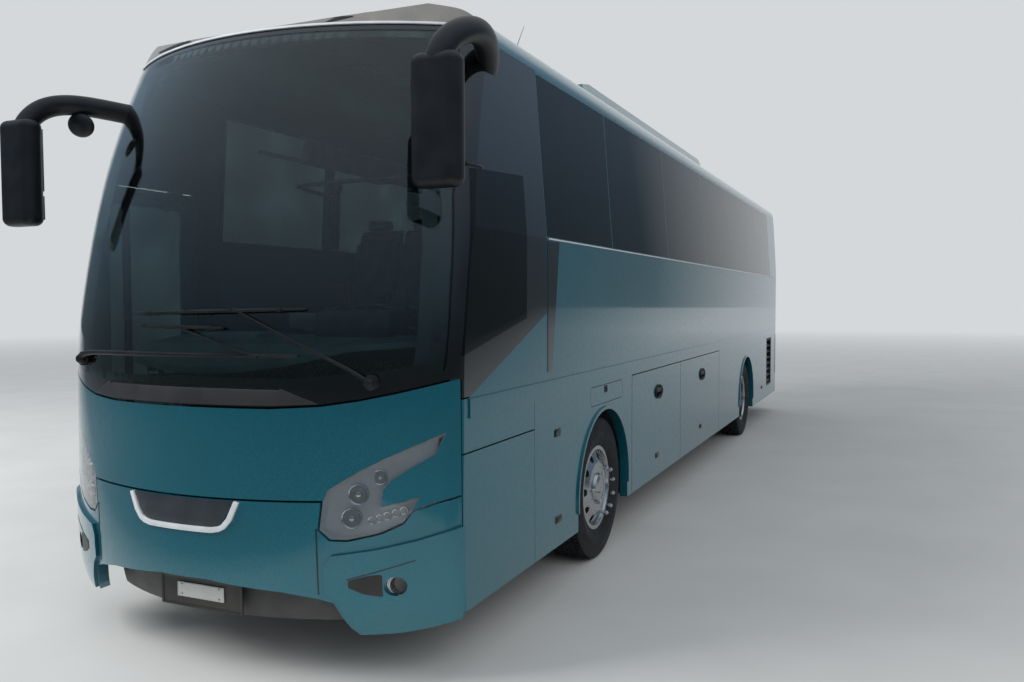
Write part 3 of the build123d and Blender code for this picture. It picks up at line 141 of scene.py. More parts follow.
def patches(tree, place, size_mm, detail=3, low=0.3, high=0.7, least=0.0, most=1.0):
    """Soft patches of a size: the part of a noise between low and high, spread from least to most."""
    cloud = node(tree, "TexNoise", {"Vector": place, "Scale": per_mm(size_mm), "Detail": detail})
    return node(tree, "MapRange", {0: cloud, 1: low, 2: high, 3: least, 4: most})


def dusted(tree, place, colour, dust, top_z, amount):
    """Road dust that thickens towards the ground, in soft patches."""
    height = node(tree, "SeparateXYZ", {0: place}).outputs["Z"]
    low = node(tree, "MapRange", {0: height, 1: 0.25, 2: top_z, 3: amount, 4: 0})
    patch = patches(tree, place, 260, 4, least=0.3)
    share = node(tree, "Math", {0: low, 1: patch}, operation="MULTIPLY")
    return node(tree, "Mix", {0: share, FIRST: colour, SECOND: linear(dust)}, **COLOURS)


def orange_peel(tree, place, strength):
    """The faint waviness of sprayed lacquer."""
    waves = node(tree, "TexNoise", {"Vector": place, "Scale": per_mm(9), "Detail": 1})
    return node(tree, "Bump", {"Height": waves, "Strength": strength, "Distance": 0.0004})


# Materials
ROAD_DUST = "#8B8578"
LACQUER_DUST = "#6E6A60"
CHASSIS_DUST = "#6F675A"
THREAD_WEAR = "#8C8F94"


def coach_paint():
    """Metallic basecoat under clear lacquer: flake sparkle, deep gloss, a little road dust low down."""
    made, tree, shader, place = new_material(
        "metallic_coach_paint", {"Metallic": 0.55, "Coat Weight": 1.0, "Coat Roughness": 0.04}
    )
    # Real flakes are 0.05 mm; they are drawn at 3 mm so that they show
    flake = node(tree, "TexVoronoi", {"Vector": place, "Scale": per_mm(3)}).outputs["Color"]
    glint = node(tree, "MapRange", {0: node(tree, "RGBToBW", {0: flake}), 1: 0.2, 2: 0.8})
    colour = node(tree, "Mix", {0: glint, FIRST: linear("#0A5E70"), SECOND: linear("#127C8C")}, **COLOURS)
    drift = patches(tree, place, 900, 2)
    colour = node(tree, "Mix", {0: drift, FIRST: colour, SECOND: linear("#0E6A7A")}, **COLOURS)
    feed(shader, {
        "Base Color": dusted(tree, place, colour, ROAD_DUST, 0.9, 0.10),
        "Roughness": patches(tree, place, 40, least=0.30, most=0.38),
        "Coat Normal": orange_peel(tree, place, 0.04),
    })
    return made


def plain_plastic(name, base, worn, roughness, grain_mm, depth, dust=0.25, dust_top_z=1.0):
    """Moulded polymer: leather-like grain, colour a little uneven, edges and tops greyed by dust."""
    made, tree, shader, place = new_material(name)
    wear = patches(tree, place, 120, 4, 0.35)
    colour = node(tree, "Mix", {0: wear, FIRST: linear(base), SECOND: linear(worn)}, **COLOURS)
    grain = node(tree, "TexNoise", {"Vector": place, "Scale": per_mm(grain_mm), "Detail": 2})
    gloss = {0: grain, 1: 0.3, 2: 0.7, 3: roughness - 0.07, 4: roughness + 0.07}
    feed(shader, {
        "Base Color": dusted(tree, place, colour, ROAD_DUST, dust_top_z, dust),
        "Roughness": node(tree, "MapRange", gloss),
        "Normal": node(tree, "Bump", {"Height": grain, "Strength": 0.35, "Distance": depth}),
    })
    return made


def glossy_black():
    """Black lacquer on the mask round the glass: deep and wet-looking, with faint orange peel."""
    made, tree, shader, place = new_material(
        "black_gloss_lacquer", {"Roughness": 0.12, "Coat Weight": 1.0, "Coat Roughness": 0.03}
    )
    tint = patches(tree, place, 300)
    colour = node(tree, "Mix", {0: tint, FIRST: linear("#050608"), SECOND: linear("#0C0E11")}, **COLOURS)
    feed(shader, {
        "Base Color": dusted(tree, place, colour, LACQUER_DUST, 1.2, 0.1),
        "Coat Normal": orange_peel(tree, place, 0.05),
    })
    return made


def glass(name, tint, roughness=0.0, smear="#FFFFFF"):
    """Flat safety glass: clear with a body tint; wiping leaves faint uneven gloss."""
    made, tree, shader, place = new_material(name, {"Transmission Weight": 1.0, "IOR": 1.5})
    haze = patches(tree, place, 400, 4, 0.45, 0.75)
    feed(shader, {
        "Base Color": node(tree, "Mix", {0: haze, FIRST: linear(tint), SECOND: linear(smear)}, **COLOURS),
        "Roughness": patches(tree, place, 150, 3, 0.4, 0.8, roughness, roughness + 0.02),
    })
    return made


def metal(name, base, dark, roughness, brush_mm, stretch=(1, 1, 1)):
    """Bare or polished metal: fine brush marks, slight stains in the roughness."""
    made, tree, shader, place = new_material(name, {"Metallic": 1.0})
    along = node(tree, "Mapping", {"Vector": place, "Scale": stretch})
    brushed = {"Vector": along, "Scale": per_mm(brush_mm), "Detail": 4, "Roughness": 0.6}
    marks = node(tree, "TexNoise", brushed)
    share = node(tree, "MapRange", {0: marks, 1: 0.3, 2: 0.7})
    feed(shader, {
        "Base Color": node(tree, "Mix", {0: share, FIRST: linear(base), SECOND: linear(dark)}, **COLOURS),
        "Roughness": patches(tree, place, 60, 3, 0.3, 0.75, roughness, roughness + 0.14),
        "Normal": node(tree, "Bump", {"Height": marks, "Strength": 0.08, "Distance": 0.0003}),
    })
    return made


def painted_iron(name, base, rust, roughness):
    """Chassis paint on iron: matt black, caked with road dust and a few rust blooms."""
    made, tree, shader, place = new_material(name)
    cloud = node(tree, "TexNoise", {"Vector": place, "Scale": per_mm(90), "Detail": 6, "Roughness": 0.65})
    bloom = node(tree, "MapRange", {0: cloud, 1: 0.52, 2: 0.68})
    colour = node(tree, "Mix", {0: bloom, FIRST: linear(base), SECOND: linear(rust)}, **COLOURS)
    grit = node(tree, "TexNoise", {"Vector": place, "Scale": per_mm(4), "Detail": 3})
    gloss = {0: grit, 1: 0.3, 2: 0.7, 3: roughness - 0.1, 4: roughness + 0.1}
    feed(shader, {
        "Base Color": dusted(tree, place, colour, CHASSIS_DUST, 1.1, 0.55),
        "Roughness": node(tree, "MapRange", gloss),
        "Normal": node(tree, "Bump", {"Height": grit, "Strength": 0.4, "Distance": 0.0012}),
    })
    return made


def tyre_rubber():
    """Vulcanised rubber: blue-black, chalky with dust on the tread, finely grained."""
    made, tree, shader, place = new_material("vulcanised_rubber", {"Roughness": 0.72})
    chalk = patches(tree, place, 70, 5, 0.35)
    colour = node(tree, "Mix", {0: chalk, FIRST: linear("#131416"), SECOND: linear("#26262A")}, **COLOURS)
    grain = node(tree, "TexNoise", {"Vector": place, "Scale": per_mm(3), "Detail": 2})
    feed(shader, {
        "Base Color": colour,
        "Normal": node(tree, "Bump", {"Height": grain, "Strength": 0.3, "Distance": 0.0006}),
    })
    return made


def cloth(name, warp, weft, thread_mm, sheen):
    """Woven cloth: crossed threads, drawn at several times their real width so that they show."""
    made, tree, shader, place = new_material(
        name, {"Roughness": 0.85, "Sheen Weight": sheen, "Sheen Roughness": 0.4}
    )
    parts = node(tree, "SeparateXYZ", {0: place})
    waves = []
    turns = 2 * pi * per_mm(thread_mm)
    for axis in ("X", "Z"):
        turn = node(tree, "Math", {0: parts.outputs[axis], 1: turns}, operation="MULTIPLY")
        waves.append(node(tree, "Math", {0: turn}, operation="SINE"))
    weave = node(tree, "Math", {0: waves[0], 1: waves[1]}, operation="MULTIPLY")
    share = node(tree, "MapRange", {0: weave, 1: -1, 2: 1})
    colour = node(tree, "Mix", {0: share, FIRST: linear(warp), SECOND: linear(weft)}, **COLOURS)
    worn = patches(tree, place, 140, 3, 0.35, 0.7, 0, 0.25)
    feed(shader, {
        "Base Color": node(tree, "Mix", {0: worn, FIRST: colour, SECOND: linear(THREAD_WEAR)}, **COLOURS),
        "Normal": node(tree, "Bump", {"Height": weave, "Strength": 0.35, "Distance": 0.0006}),
    })
    return made


def deck_sheet():
    """Sealed plywood under a speckled vinyl sheet: small pale and dark flecks, soft wear."""
    made, tree, shader, place = new_material("speckled_vinyl_sheet", {"Roughness": 0.5})
    fleck = node(tree, "TexVoronoi", {"Vector": place, "Scale": per_mm(7)}).outputs["Color"]
    grey = node(tree, "RGBToBW", {0: fleck})
    speckle = ((0.2, "#2A2B2D"), (0.5, "#3A3B3E"), (0.8, "#56575A"))
    wear = node(tree, "TexNoise", {"Vector": place, "Scale": per_mm(30), "Detail": 3})
    feed(shader, {
        "Base Color": node(tree, "ValToRGB", {0: grey}, speckle),
        "Normal": node(tree, "Bump", {"Height": wear, "Strength": 0.1, "Distance": 0.0004}),
    })
    return made


PAINT = coach_paint()
GLOSS_BLACK = glossy_black()
TRIM_GREY = plain_plastic("grained_grey_polypropylene", "#2B2D2F", "#3A3C3E", 0.55, 2.5, 0.0005)
TRIM_BLACK = plain_plastic("moulded_black_abs", "#0E0F11", "#1B1C1F", 0.45, 2.5, 0.0004)
CAP_GREY = plain_plastic("painted_warm_grey_grp", "#85827E", "#908C86", 0.3, 6, 0.0002, 0.1, 0.9)
CAP_DARK = plain_plastic("painted_dark_grey_panel", "#2C3136", "#363B41", 0.35, 5, 0.0002, 0.2, 0.9)
COWL_GREY = plain_plastic("weathered_cowl_plastic", "#2A292B", "#353336", 0.55, 3, 0.0004, 0.3, 1.6)
PLATE_WHITE = plain_plastic("pressed_retroreflective_sheet", "#D5D6D2", "#DFE0DD", 0.4, 4, 0.0001, 0.3, 0.8)
DASH_GREY = plain_plastic("grained_dashboard_foam_skin", "#3F5559", "#4D666A", 0.6, 3, 0.0006, 0)
RACK_GREY = plain_plastic("light_grey_rack_moulding", "#8D9092", "#9B9D9E", 0.5, 3, 0.0004, 0)
DARK_GLASS = glass("tinted_toughened_glass", "#273033", 0.0, "#39464A")
SCREEN_GLASS = glass("laminated_green_tint_glass", "#D3E4DE", 0.0, "#DDEBE6")
LENS = glass("clear_polycarbonate_lens", "#F0F2F2")
RED_LENS = glass("red_acrylic_lens", "#A50F12", 0.05, "#B81A1C")
AMBER_LENS = glass("amber_acrylic_lens", "#D9740E", 0.05, "#E08820")
ALLOY = metal("polished_forged_aluminium", "#C9CBCC", "#B0B2B4", 0.16, 3, (1, 12, 1))
CHROME = metal("chromed_abs", "#D6D8D9", "#C2C4C6", 0.06, 2)
MIRROR_GLASS = metal("silvered_mirror_glass", "#E3E6E8", "#DADEE1", 0.02, 40)
SATIN_SILVER = plain_plastic("silver_painted_bezel", "#D3D7D9", "#E0E3E4", 0.26, 6, 0.0002, 0.05, 0.9)
IRON = painted_iron("black_chassis_enamel_on_iron", "#101113", "#3A2A20", 0.6)
RUBBER = tyre_rubber()
SEAT_SHELL = plain_plastic("dark_seat_shell_moulding", "#25282C", "#32363B", 0.5, 3, 0.0004, 0)
DASH_BLACK = plain_plastic("soft_touch_black_moulding", "#15171A", "#212429", 0.6, 3, 0.0005, 0)
SEAT_CLOTH = cloth("woven_moquette", "#2F3B4C", "#45546A", 4, 0.5)
CURTAIN_CLOTH = cloth("navy_polyester_curtain", "#0C1830", "#16264A", 5, 0.3)
VINYL = deck_sheet()

NODE_FINISHES = (
    (PAINT, "side_walls roof_panel roof_air_conditioner quarter_panels skirts belt_mouldings front_bumper"),
    (PAINT, "rear_wall rear_bumper front_lid engine_lid driver_flap fuel_flap front_door"),
    (PAINT, "luggage_flap_front_left luggage_flap_rear_left"),
    (PAINT, "luggage_flap_front_right luggage_flap_rear_right"),
    (IRON, "chassis_frame front_axle_beam rear_axle engine_block knuckle_left knuckle_right"),
    (IRON, "front_lid_arms front_door_arm"),
    (VINYL, "deck_floor hold_floor entrance_floor"),
    (DARK_GLASS, "side_glass rear_window front_door_glass"),
    (CAP_GREY, "roof_front_cap roof_hatch_front roof_hatch_rear"),
    (SCREEN_GLASS, "windscreen"),
    (GLOSS_BLACK, "windscreen_frame"),
    (TRIM_GREY, "front_lip"),
    (LENS, "fog_lamps"),
    (TRIM_BLACK, "mirrors wipers side_louvres steering_wheel"),
    (RED_LENS, "tail_lamps"),
    (DASH_GREY, "dashboard"),
    (SEAT_CLOTH, "driver_seat passenger_seats"),
    (RACK_GREY, "luggage_racks"),
    (CURTAIN_CLOTH, "curtains"),
    (ALLOY, "front_wheel_left front_wheel_right rear_wheels_left rear_wheels_right"),
    (RUBBER, "front_tyre_left front_tyre_right rear_tyres_left rear_tyres_right"),
    (SATIN_SILVER, "headlamps"),
)
for finish, names in NODE_FINISHES:
    for name in names.split():
        slots = NODES[name].data.materials
        slots.clear()
        slots.append(finish)


# Modelling helpers
def only(piece):
    """Makes one piece the selected and active one."""
    for thing in bpy.context.selected_objects:
        thing.select_set(False)
    piece.select_set(True)
    bpy.context.view_layer.objects.active = piece


def settled(piece, place=None, turn=None):
    """Moves and turns a piece where asked, and puts its place, turn and size into its mesh."""
    if turn is not None:
        piece.rotation_euler = turn
    if place is not None:
        piece.location = place
    only(piece)
    bpy.ops.object.transform_apply(location=True, rotation=True, scale=True)
    return piece


def finished(piece, name, finish, body="root", angle=40):
    """Puts the piece's place into its mesh, names, smooths and paints it, and hangs it on a body."""
    settled(piece)
    piece.name = name
    piece.data.materials.clear()
    piece.data.materials.append(finish)
    bpy.ops.object.shade_smooth_by_angle(angle=radians(angle))
    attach(piece, body)
    return piece


def modified(piece, kind, **settings):
    """Adds a modifier and applies it at once."""
    only(piece)
    made = piece.modifiers.new(kind, kind)
    for name, value in settings.items():
        setattr(made, name, value)
    bpy.ops.object.modifier_apply(modifier=made.name)


def pick(piece, test):
    """Opens the piece in edit mode with the faces that pass a test on (centre, normal) selected."""
    only(piece)
    bpy.ops.object.mode_set(mode="EDIT")
    bpy.ops.mesh.select_mode(type="FACE")
    bpy.ops.mesh.select_all(action="DESELECT")
    bpy.ops.object.mode_set(mode="OBJECT")
    for face in piece.data.polygons:
        face.select = test(face.center, face.normal)
    bpy.ops.object.mode_set(mode="EDIT")


def closed():
    """Back to object mode."""
    bpy.ops.object.mode_set(mode="OBJECT")


def looks(direction, least=0.9):
    """The test for pick that a face looks in a direction."""
    return lambda centre, normal: normal.dot(direction) > least


def stepped(piece, test, *steps):
    """Insets the faces that pass a test, once for each (thickness, depth)."""
    pick(piece, test)
    for thickness, depth in steps:
        bpy.ops.mesh.inset(thickness=thickness, depth=depth)
    closed()


def outlined(points, edges):
    """A new active piece of points and edges, for spin and extrude."""
    mesh = bpy.data.meshes.new("outline")
    mesh.from_pydata(points, edges, [])
    piece = bpy.data.objects.new("outline", mesh)
    bpy.context.collection.objects.link(piece)
    only(piece)
    return piece


def turned(profile, steps, closed_profile=True):
    """A solid of revolution about the Y axis from (radius, offset) points."""
    last = len(profile) if closed_profile else len(profile) - 1
    edges = [(number, (number + 1) % len(profile)) for number in range(last)]
    piece = outlined([(radius, offset, 0) for radius, offset in profile], edges)
    bpy.ops.object.mode_set(mode="EDIT")
    bpy.ops.mesh.select_all(action="SELECT")
    bpy.ops.mesh.spin(steps=steps, angle=2 * pi, center=(0, 0, 0), axis=(0, 1, 0))
    bpy.ops.mesh.select_all(action="SELECT")
    bpy.ops.mesh.remove_doubles(threshold=0.00002)
    bpy.ops.mesh.normals_make_consistent(inside=False)
    closed()
    return piece


def again(piece, offset=(0, 0, 0), mirrored=False):
    """A copy with its own mesh, moved or mirrored to the coach's other side."""
    only(piece)
    bpy.ops.object.duplicate()
    twin = bpy.context.object
    if mirrored:
        twin.scale = (1, -1, 1)
        bpy.ops.object.transform_apply(location=False, rotation=False, scale=True)
        bpy.ops.object.mode_set(mode="EDIT")
        bpy.ops.mesh.select_all(action="SELECT")
        bpy.ops.mesh.normals_make_consistent(inside=False)
        closed()
    twin.location = offset
    return twin


def both_sides(piece, name, finish, body="root", angle=40):
    """Finishes a piece for the left side and its mirror image for the right."""
    finished(piece, name + "_left", finish, body, angle)
    finished(again(piece, mirrored=True), name + "_right", finish, body, angle)


def bar(start, end, radius, sides=16, caps=0.25):
    """A round bar between two points, its ends rounded by a bevel."""
    a, b = Vector(start), Vector(end)
    bpy.ops.mesh.primitive_cylinder_add(
        vertices=sides, radius=radius, depth=(b - a).length, location=(a + b) / 2,
        rotation=(b - a).to_track_quat("Z", "Y").to_euler(),
    )
    piece = bpy.context.object
    modified(piece, "BEVEL", width=radius * caps, segments=2, limit_method="ANGLE", angle_limit=radians(50))
    return piece


def plate(low, high, edge, segments=3):
    """A box from its corners with rounded edges."""
    a, b = Vector(low), Vector(high)
    bpy.ops.mesh.primitive_cube_add(size=1, location=(a + b) / 2, scale=b - a)
    piece = bpy.context.object
    bpy.ops.object.transform_apply(location=True, rotation=True, scale=True)
    modified(piece, "BEVEL", width=edge, segments=segments, limit_method="NONE")
    return piece


def joined(pieces):
    """Several pieces as one."""
    only(pieces[0])
    for piece in pieces:
        piece.select_set(True)
    bpy.ops.object.join()
    return bpy.context.object


def cover(target, outline, corner=0.0, grid=0.05, lift=0.0, thick=0.003, ahead=True):
    """A thin sheet laid on a CAD surface: a (y, z) outline on the front, or an (x, z) one on the left."""
    across = 0 if ahead else 1
    flat = [(FAR, a, b) if ahead else (a, FAR, b) for a, b in outline]
    piece = outlined(flat, [(number, (number + 1) % len(flat)) for number in range(len(flat))])
    bpy.ops.object.mode_set(mode="EDIT")
    bpy.ops.mesh.select_all(action="SELECT")
    bpy.ops.mesh.edge_face_add()
    if corner:
        bpy.ops.mesh.bevel(offset=corner, affect="VERTICES", segments=5)
    for axis in ((1, 2) if ahead else (0, 2)):
        low = min(point[axis] for point in flat)
        high = max(point[axis] for point in flat)
        cuts = int((high - low) / grid)
        direction = [0, 0, 0]
        direction[axis] = 1
        for number in range(1, cuts + 1):
            place = [0, 0, 0]
            place[axis] = low + (high - low) * number / (cuts + 1)
            bpy.ops.mesh.select_all(action="SELECT")
            bpy.ops.mesh.bisect(plane_co=place, plane_no=direction)
    closed()
    if sum(face.normal[across] for face in piece.data.polygons) < 0:
        pick(piece, lambda centre, normal: True)
        bpy.ops.mesh.flip_normals()
        closed()
    modified(
        piece, "SHRINKWRAP", target=target, wrap_method="PROJECT", offset=lift,
        use_project_x=ahead, use_project_y=not ahead,
        use_negative_direction=True, use_positive_direction=False,
    )
    # A point that the projection missed goes to the nearest place on the surface
    for vertex in piece.data.vertices:
        if FAR - vertex.co[across] < 0.5:
            hit, place, normal, face = target.closest_point_on_mesh(vertex.co)
            vertex.co = place + normal * lift
    modified(piece, "SOLIDIFY", thickness=thick, offset=1)
    return piece


def softened(piece, width, segments=2, angle=40):
    """Rounds a piece's sharp edges."""
    modified(piece, "BEVEL", width=width, segments=segments, limit_method="ANGLE", angle_limit=radians(angle))
    return piece


# Wheels
def tyre_piece(name, axle_x, y, body):
    """Road tyre: ribbed tread cut by grooves and sipes, ringed sidewalls without any lettering."""
    side = [(0.290, 0.098), (0.302, 0.112), (0.322, 0.126), (0.360, 0.140), (0.398, 0.1475), (0.404, 0.1450),
            (0.440, 0.1440), (0.446, 0.1415), (0.472, 0.1370), (0.488, 0.1310), (0.497, 0.1240)]
    tread = [(0.500, 0.1180), (0.500, 0.0860)]
    for groove in (0.080, 0.030):
        tread += [(0.5015, groove + 0.006), (0.488, groove + 0.004)]
        tread += [(0.488, groove - 0.004), (0.503, groove - 0.006)]
    tread.append((0.505, 0.0))
    near = side + tread
    far = [(radius, -offset) for radius, offset in near[-2::-1]]
    piece = turned(near + far, 84)
    pick(piece, lambda centre, normal: Vector((centre.x, centre.z)).length > 0.495 and abs(normal.y) < 0.5)
    bpy.ops.mesh.inset(thickness=0.0022, depth=-0.006, use_individual=True)
    closed()
    piece.location = (axle_x, y, TYRE_R)
    return finished(piece, name, RUBBER, body, 30)


NUTS = 10
NUT_CIRCLE_R = 0.1675


def wheel_fittings(name, axle_x, face_y, side, body):
    """Ten covered nuts and the valve of a disc wheel."""
    parts = []
    for number in range(NUTS):
        turn = 2 * pi * (number + 0.5) / NUTS
        place = Vector((NUT_CIRCLE_R * cos(turn), 0, NUT_CIRCLE_R * sin(turn)))
        bpy.ops.mesh.primitive_cylinder_add(
            vertices=6, radius=0.0185, depth=0.026, location=place, rotation=(pi / 2, 0, 0)
        )
        nut = bpy.context.object
        modified(nut, "BEVEL", width=0.002, segments=2, limit_method="ANGLE")
        cap_place = place + Vector((0, side * 0.014, 0))
        bpy.ops.mesh.primitive_uv_sphere_add(segments=12, ring_count=6, radius=0.0125, location=cap_place)
        parts += [nut, bpy.context.object]
    parts.append(bar((0.262, side * 0.01, 0.04), (0.262, side * 0.055, 0.04), 0.0045, 10))
    fittings = joined(parts)
    fittings.location = (axle_x, face_y, TYRE_R)
    return finished(fittings, name, CHROME, body)


for side, sign in SIDES:
    body = f"front_wheel_{side}"
    front_tyre = tyre_piece(f"front_road_tyre_{side}", FRONT_AXLE_X, sign * 1.097, body)
    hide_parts(f"front_tyre_{side}")
    wheel_fittings(f"front_wheel_nuts_{side}", FRONT_AXLE_X, sign * 1.226, sign, body)
    body = f"rear_wheels_{side}"
    outer = tyre_piece(f"rear_road_tyre_outer_{side}", REAR_AXLE_X, sign * 1.095, body)
    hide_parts(f"rear_tyres_{side}")
    tyre_piece(f"rear_road_tyre_inner_{side}", REAR_AXLE_X, sign * 0.755, body)
    wheel_fittings(f"rear_wheel_nuts_{side}", REAR_AXLE_X, sign * 0.945, sign, body)


# Lamps in the front lid
def node_copy(node_name):
    """A merged copy of a CAD node's mesh as a new piece."""
    source = NODES[node_name]
    piece = bpy.data.objects.new(node_name + "_copy", source.data.copy())
    bpy.context.collection.objects.link(piece)
    only(piece)
    bpy.ops.object.mode_set(mode="EDIT")
    bpy.ops.mesh.select_all(action="SELECT")
    bpy.ops.mesh.remove_doubles(threshold=0.0002)
    bpy.ops.mesh.dissolve_limited(angle_limit=radians(1))
    closed()
    return piece


def headlamp_shell():
    """Clear cover over a silver tray: the lamp's front skin, and its body pressed in behind it."""
    faces_ahead = looks(AHEAD, 0.25)
    cover_piece = node_copy("headlamps")
    pick(cover_piece, lambda centre, normal: not faces_ahead(centre, normal))
    bpy.ops.mesh.delete(type="FACE")
    closed()
    modified(cover_piece, "SOLIDIFY", thickness=0.0035, offset=-1)
    finished(cover_piece, "headlamp_covers", LENS, "front_lid", 35)
    tray = node_copy("headlamps")
    pick(tray, faces_ahead)
    bpy.ops.mesh.inset(thickness=0.007, depth=0)
    bpy.ops.transform.translate(value=(-0.034, 0, 0))
    bpy.ops.mesh.inset(thickness=0.004, depth=0)
    closed()
    finished(tray, "headlamp_trays", SATIN_SILVER, "front_lid", 30)
    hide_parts("headlamps")


headlamp_shell()

# Lamps: where each looks out (x, y, z), its radius, and whether it has a bulb cap and a lens of its own
LAMPS = (
    (5.862, 0.872, 0.936, 0.043, True),
    (5.878, 0.843, 0.823, 0.043, True),
    (5.806, 0.958, 1.014, 0.030, True),
    (5.830, 0.926, 0.811, 0.0145, False),
    (5.812, 0.957, 0.820, 0.0145, False),
    (5.794, 0.989, 0.831, 0.0145, False),
    (5.773, 1.023, 0.842, 0.0145, False),
    (5.750, 1.054, 0.852, 0.0145, False),
)
LAMP_FACING = Vector((cos(0.35), sin(0.35) * 0.8, 0)).normalized()
LAMP_TURN = LAMP_FACING.to_track_quat("Y", "Z").to_euler()


def lamp_unit(x, y, z, radius, bulb):
    """One lamp: a stepped silver reflector bowl with its bulb cap, or a small light guide eye."""
    bowl = turned([(0.002, -0.030), (radius * 0.55, -0.026), (radius * 0.8, -0.012), (radius, 0.0),
                   (radius + 0.006, 0.003), (radius + 0.008, -0.002), (radius + 0.006, -0.03),
                   (0.002, -0.034)], 40)
    parts = [bowl]
    if bulb:
        parts.append(turned([(0.0005, 0.004), (radius * 0.25, 0.002), (radius * 0.32, -0.006),
                             (radius * 0.34, -0.024), (0.0005, -0.026)], 24))
    return settled(joined(parts), (x, y, z), LAMP_TURN)


def lamp_glass(x, y, z, radius):
    """Bulging lens over a lamp."""
    piece = turned([(0.0004, 0.010), (radius * 0.5, 0.0085), (radius * 0.85, 0.004), (radius - 0.001, -0.001),
                    (radius - 0.001, -0.004), (0.0004, -0.004)], 32, False)
    return settled(piece, (x, y, z), LAMP_TURN)


reflectors = joined([lamp_unit(*row) for row in LAMPS])
both_sides(reflectors, "headlamp_reflectors", CHROME, "front_lid", 35)
lamp_glasses = joined([lamp_glass(x, y, z, radius) for x, y, z, radius, bulb in LAMPS if bulb])
both_sides(lamp_glasses, "headlamp_lenses", LENS, "front_lid", 35)


# Front face
def badge_panel():
    """A bare dark grille panel in a silver surround, open at the top, between the headlamps."""
    half_width, top_z = 0.013, 0.901
    inner = [(0.168, 0.769), (0.225, 0.776), (0.257, 0.803), (0.318, 0.899)]
    inner += [(-y, z) for y, z in reversed(inner)]
    band = [(-0.331, 0.899), (-0.292, 0.812), (-0.260, 0.775), (-0.235, 0.763), (-0.195, 0.755)]
    band += [(-0.10, 0.754)]
    band += [(-y, z) for y, z in reversed(band)]
    upper, lower = [], []
    for number, place in enumerate(band):
        before, after = band[max(number - 1, 0)], band[min(number + 1, len(band) - 1)]
        along = Vector((after[0] - before[0], after[1] - before[1])).normalized()
        upper.append((place[0] - along.y * half_width, min(place[1] + along.x * half_width, top_z)))
        lower.append((place[0] + along.y * half_width, min(place[1] - along.x * half_width, top_z)))
    surround = cover(BUMPER, upper + lower[::-1], 0, 0.03, 0.0005, 0.014)
    softened(surround, 0.004, 3)
    finished(surround, "grille_surround", SATIN_SILVER)
    backing = cover(BUMPER, inner, lift=0.001, thick=0.006)
    softened(backing, 0.002)
    finished(backing, "grille_backing", CAP_DARK)


badge_panel()


def plate_and_holder():
    """Blank number plate in its dark holder, set into the lip."""
    x = 5.962
    holder = plate((x - 0.004, -0.262, 0.302), (x + 0.010, 0.262, 0.458), 0.004)
    stepped(holder, looks(AHEAD), (0.010, -0.005))
    finished(holder, "plate_holder", TRIM_BLACK, angle=35)
    blank = plate((x + 0.008, -0.150, 0.354), (x + 0.013, 0.150, 0.428), 0.0015, 2)
    stepped(blank, looks(AHEAD), (0.005, 0), (0.002, -0.0012))
    finished(blank, "front_plate_blank", PLATE_WHITE, angle=35)
    screws = []
    for y in (-0.12, 0.12):
        for z in (0.366, 0.416):
            screw = turned([(0.0004, 0.004), (0.004, 0.0035), (0.006, 0.001), (0.006, -0.004),
                            (0.0004, -0.004)], 16, False)
            screws.append(settled(screw, (x + 0.013, y, z), (0, 0, -pi / 2)))
    finished(joined(screws), "front_plate_screws", CHROME, angle=35)


plate_and_holder()

# Grey cowl under the windscreen
cowl_outline = [(-0.72, 1.366), (-0.50, 1.357), (0.50, 1.357), (0.72, 1.366), (0.545, 1.440), (0.30, 1.446),
                (-0.30, 1.446), (-0.545, 1.440)]
cowl = cover(MASK, cowl_outline, 0.008, 0.04, 0.001, 0.005)
softened(cowl, 0.0015)
finished(cowl, "cowl_panel", COWL_GREY)

# Dark slot under the cap's peak
SLOT = (
    (-0.80, 3.306), (-0.55, 3.300), (-0.30, 3.296), (0.03, 3.294), (0.33, 3.304), (0.47, 3.325),
    (0.55, 3.352), (0.62, 3.384), (0.60, 3.302), (0.50, 3.277), (0.36, 3.268), (0.03, 3.266),
    (-0.30, 3.268), (-0.55, 3.276), (-0.80, 3.296),
)
slot_fill = cover(CAP, SLOT, 0, 0.05, 0.001, 0.002)
finished(slot_fill, "peak_slot_shadow", TRIM_BLACK)


def strip_on(target, points, width, thick, name, finish, lift=0.0):
    """A narrow moulding that follows points on a surface."""
    runs = [Vector(point) for point in points]
    upper, lower = [], []
    for number, here in enumerate(runs):
        before = runs[max(number - 1, 0)]
        after = runs[min(number + 1, len(runs) - 1)]
        along = (after - before).normalized()
        out = Vector((-along.y, along.x)) * width / 2
        upper.append(tuple(here + out))
        lower.append(tuple(here - out))
    piece = cover(target, upper + lower[::-1], 0, 0.07, lift, thick)
    softened(piece, min(thick, width) * 0.3, 2)
    return finished(piece, name, finish)


# Bright moulding along the top of the windscreen
strip_on(CAP, [(y / 20, 3.262) for y in range(-21, 22, 2)], 0.014, 0.009, "screen_top_moulding", SATIN_SILVER)


# Wipers
def skin_x(y, z, target):
    """How far forward a surface reaches at a place seen from ahead."""
    hit, place, normal, face = target.ray_cast(Vector((FAR, y, z)), BACK)
    return place.x if hit else 5.9


def on_screen(y, z, lift):
    """The place a short way ahead of the screen or the mask round it."""
    return Vector((max(skin_x(y, z, SCREEN), skin_x(y, z, MASK)) + lift, y, z))


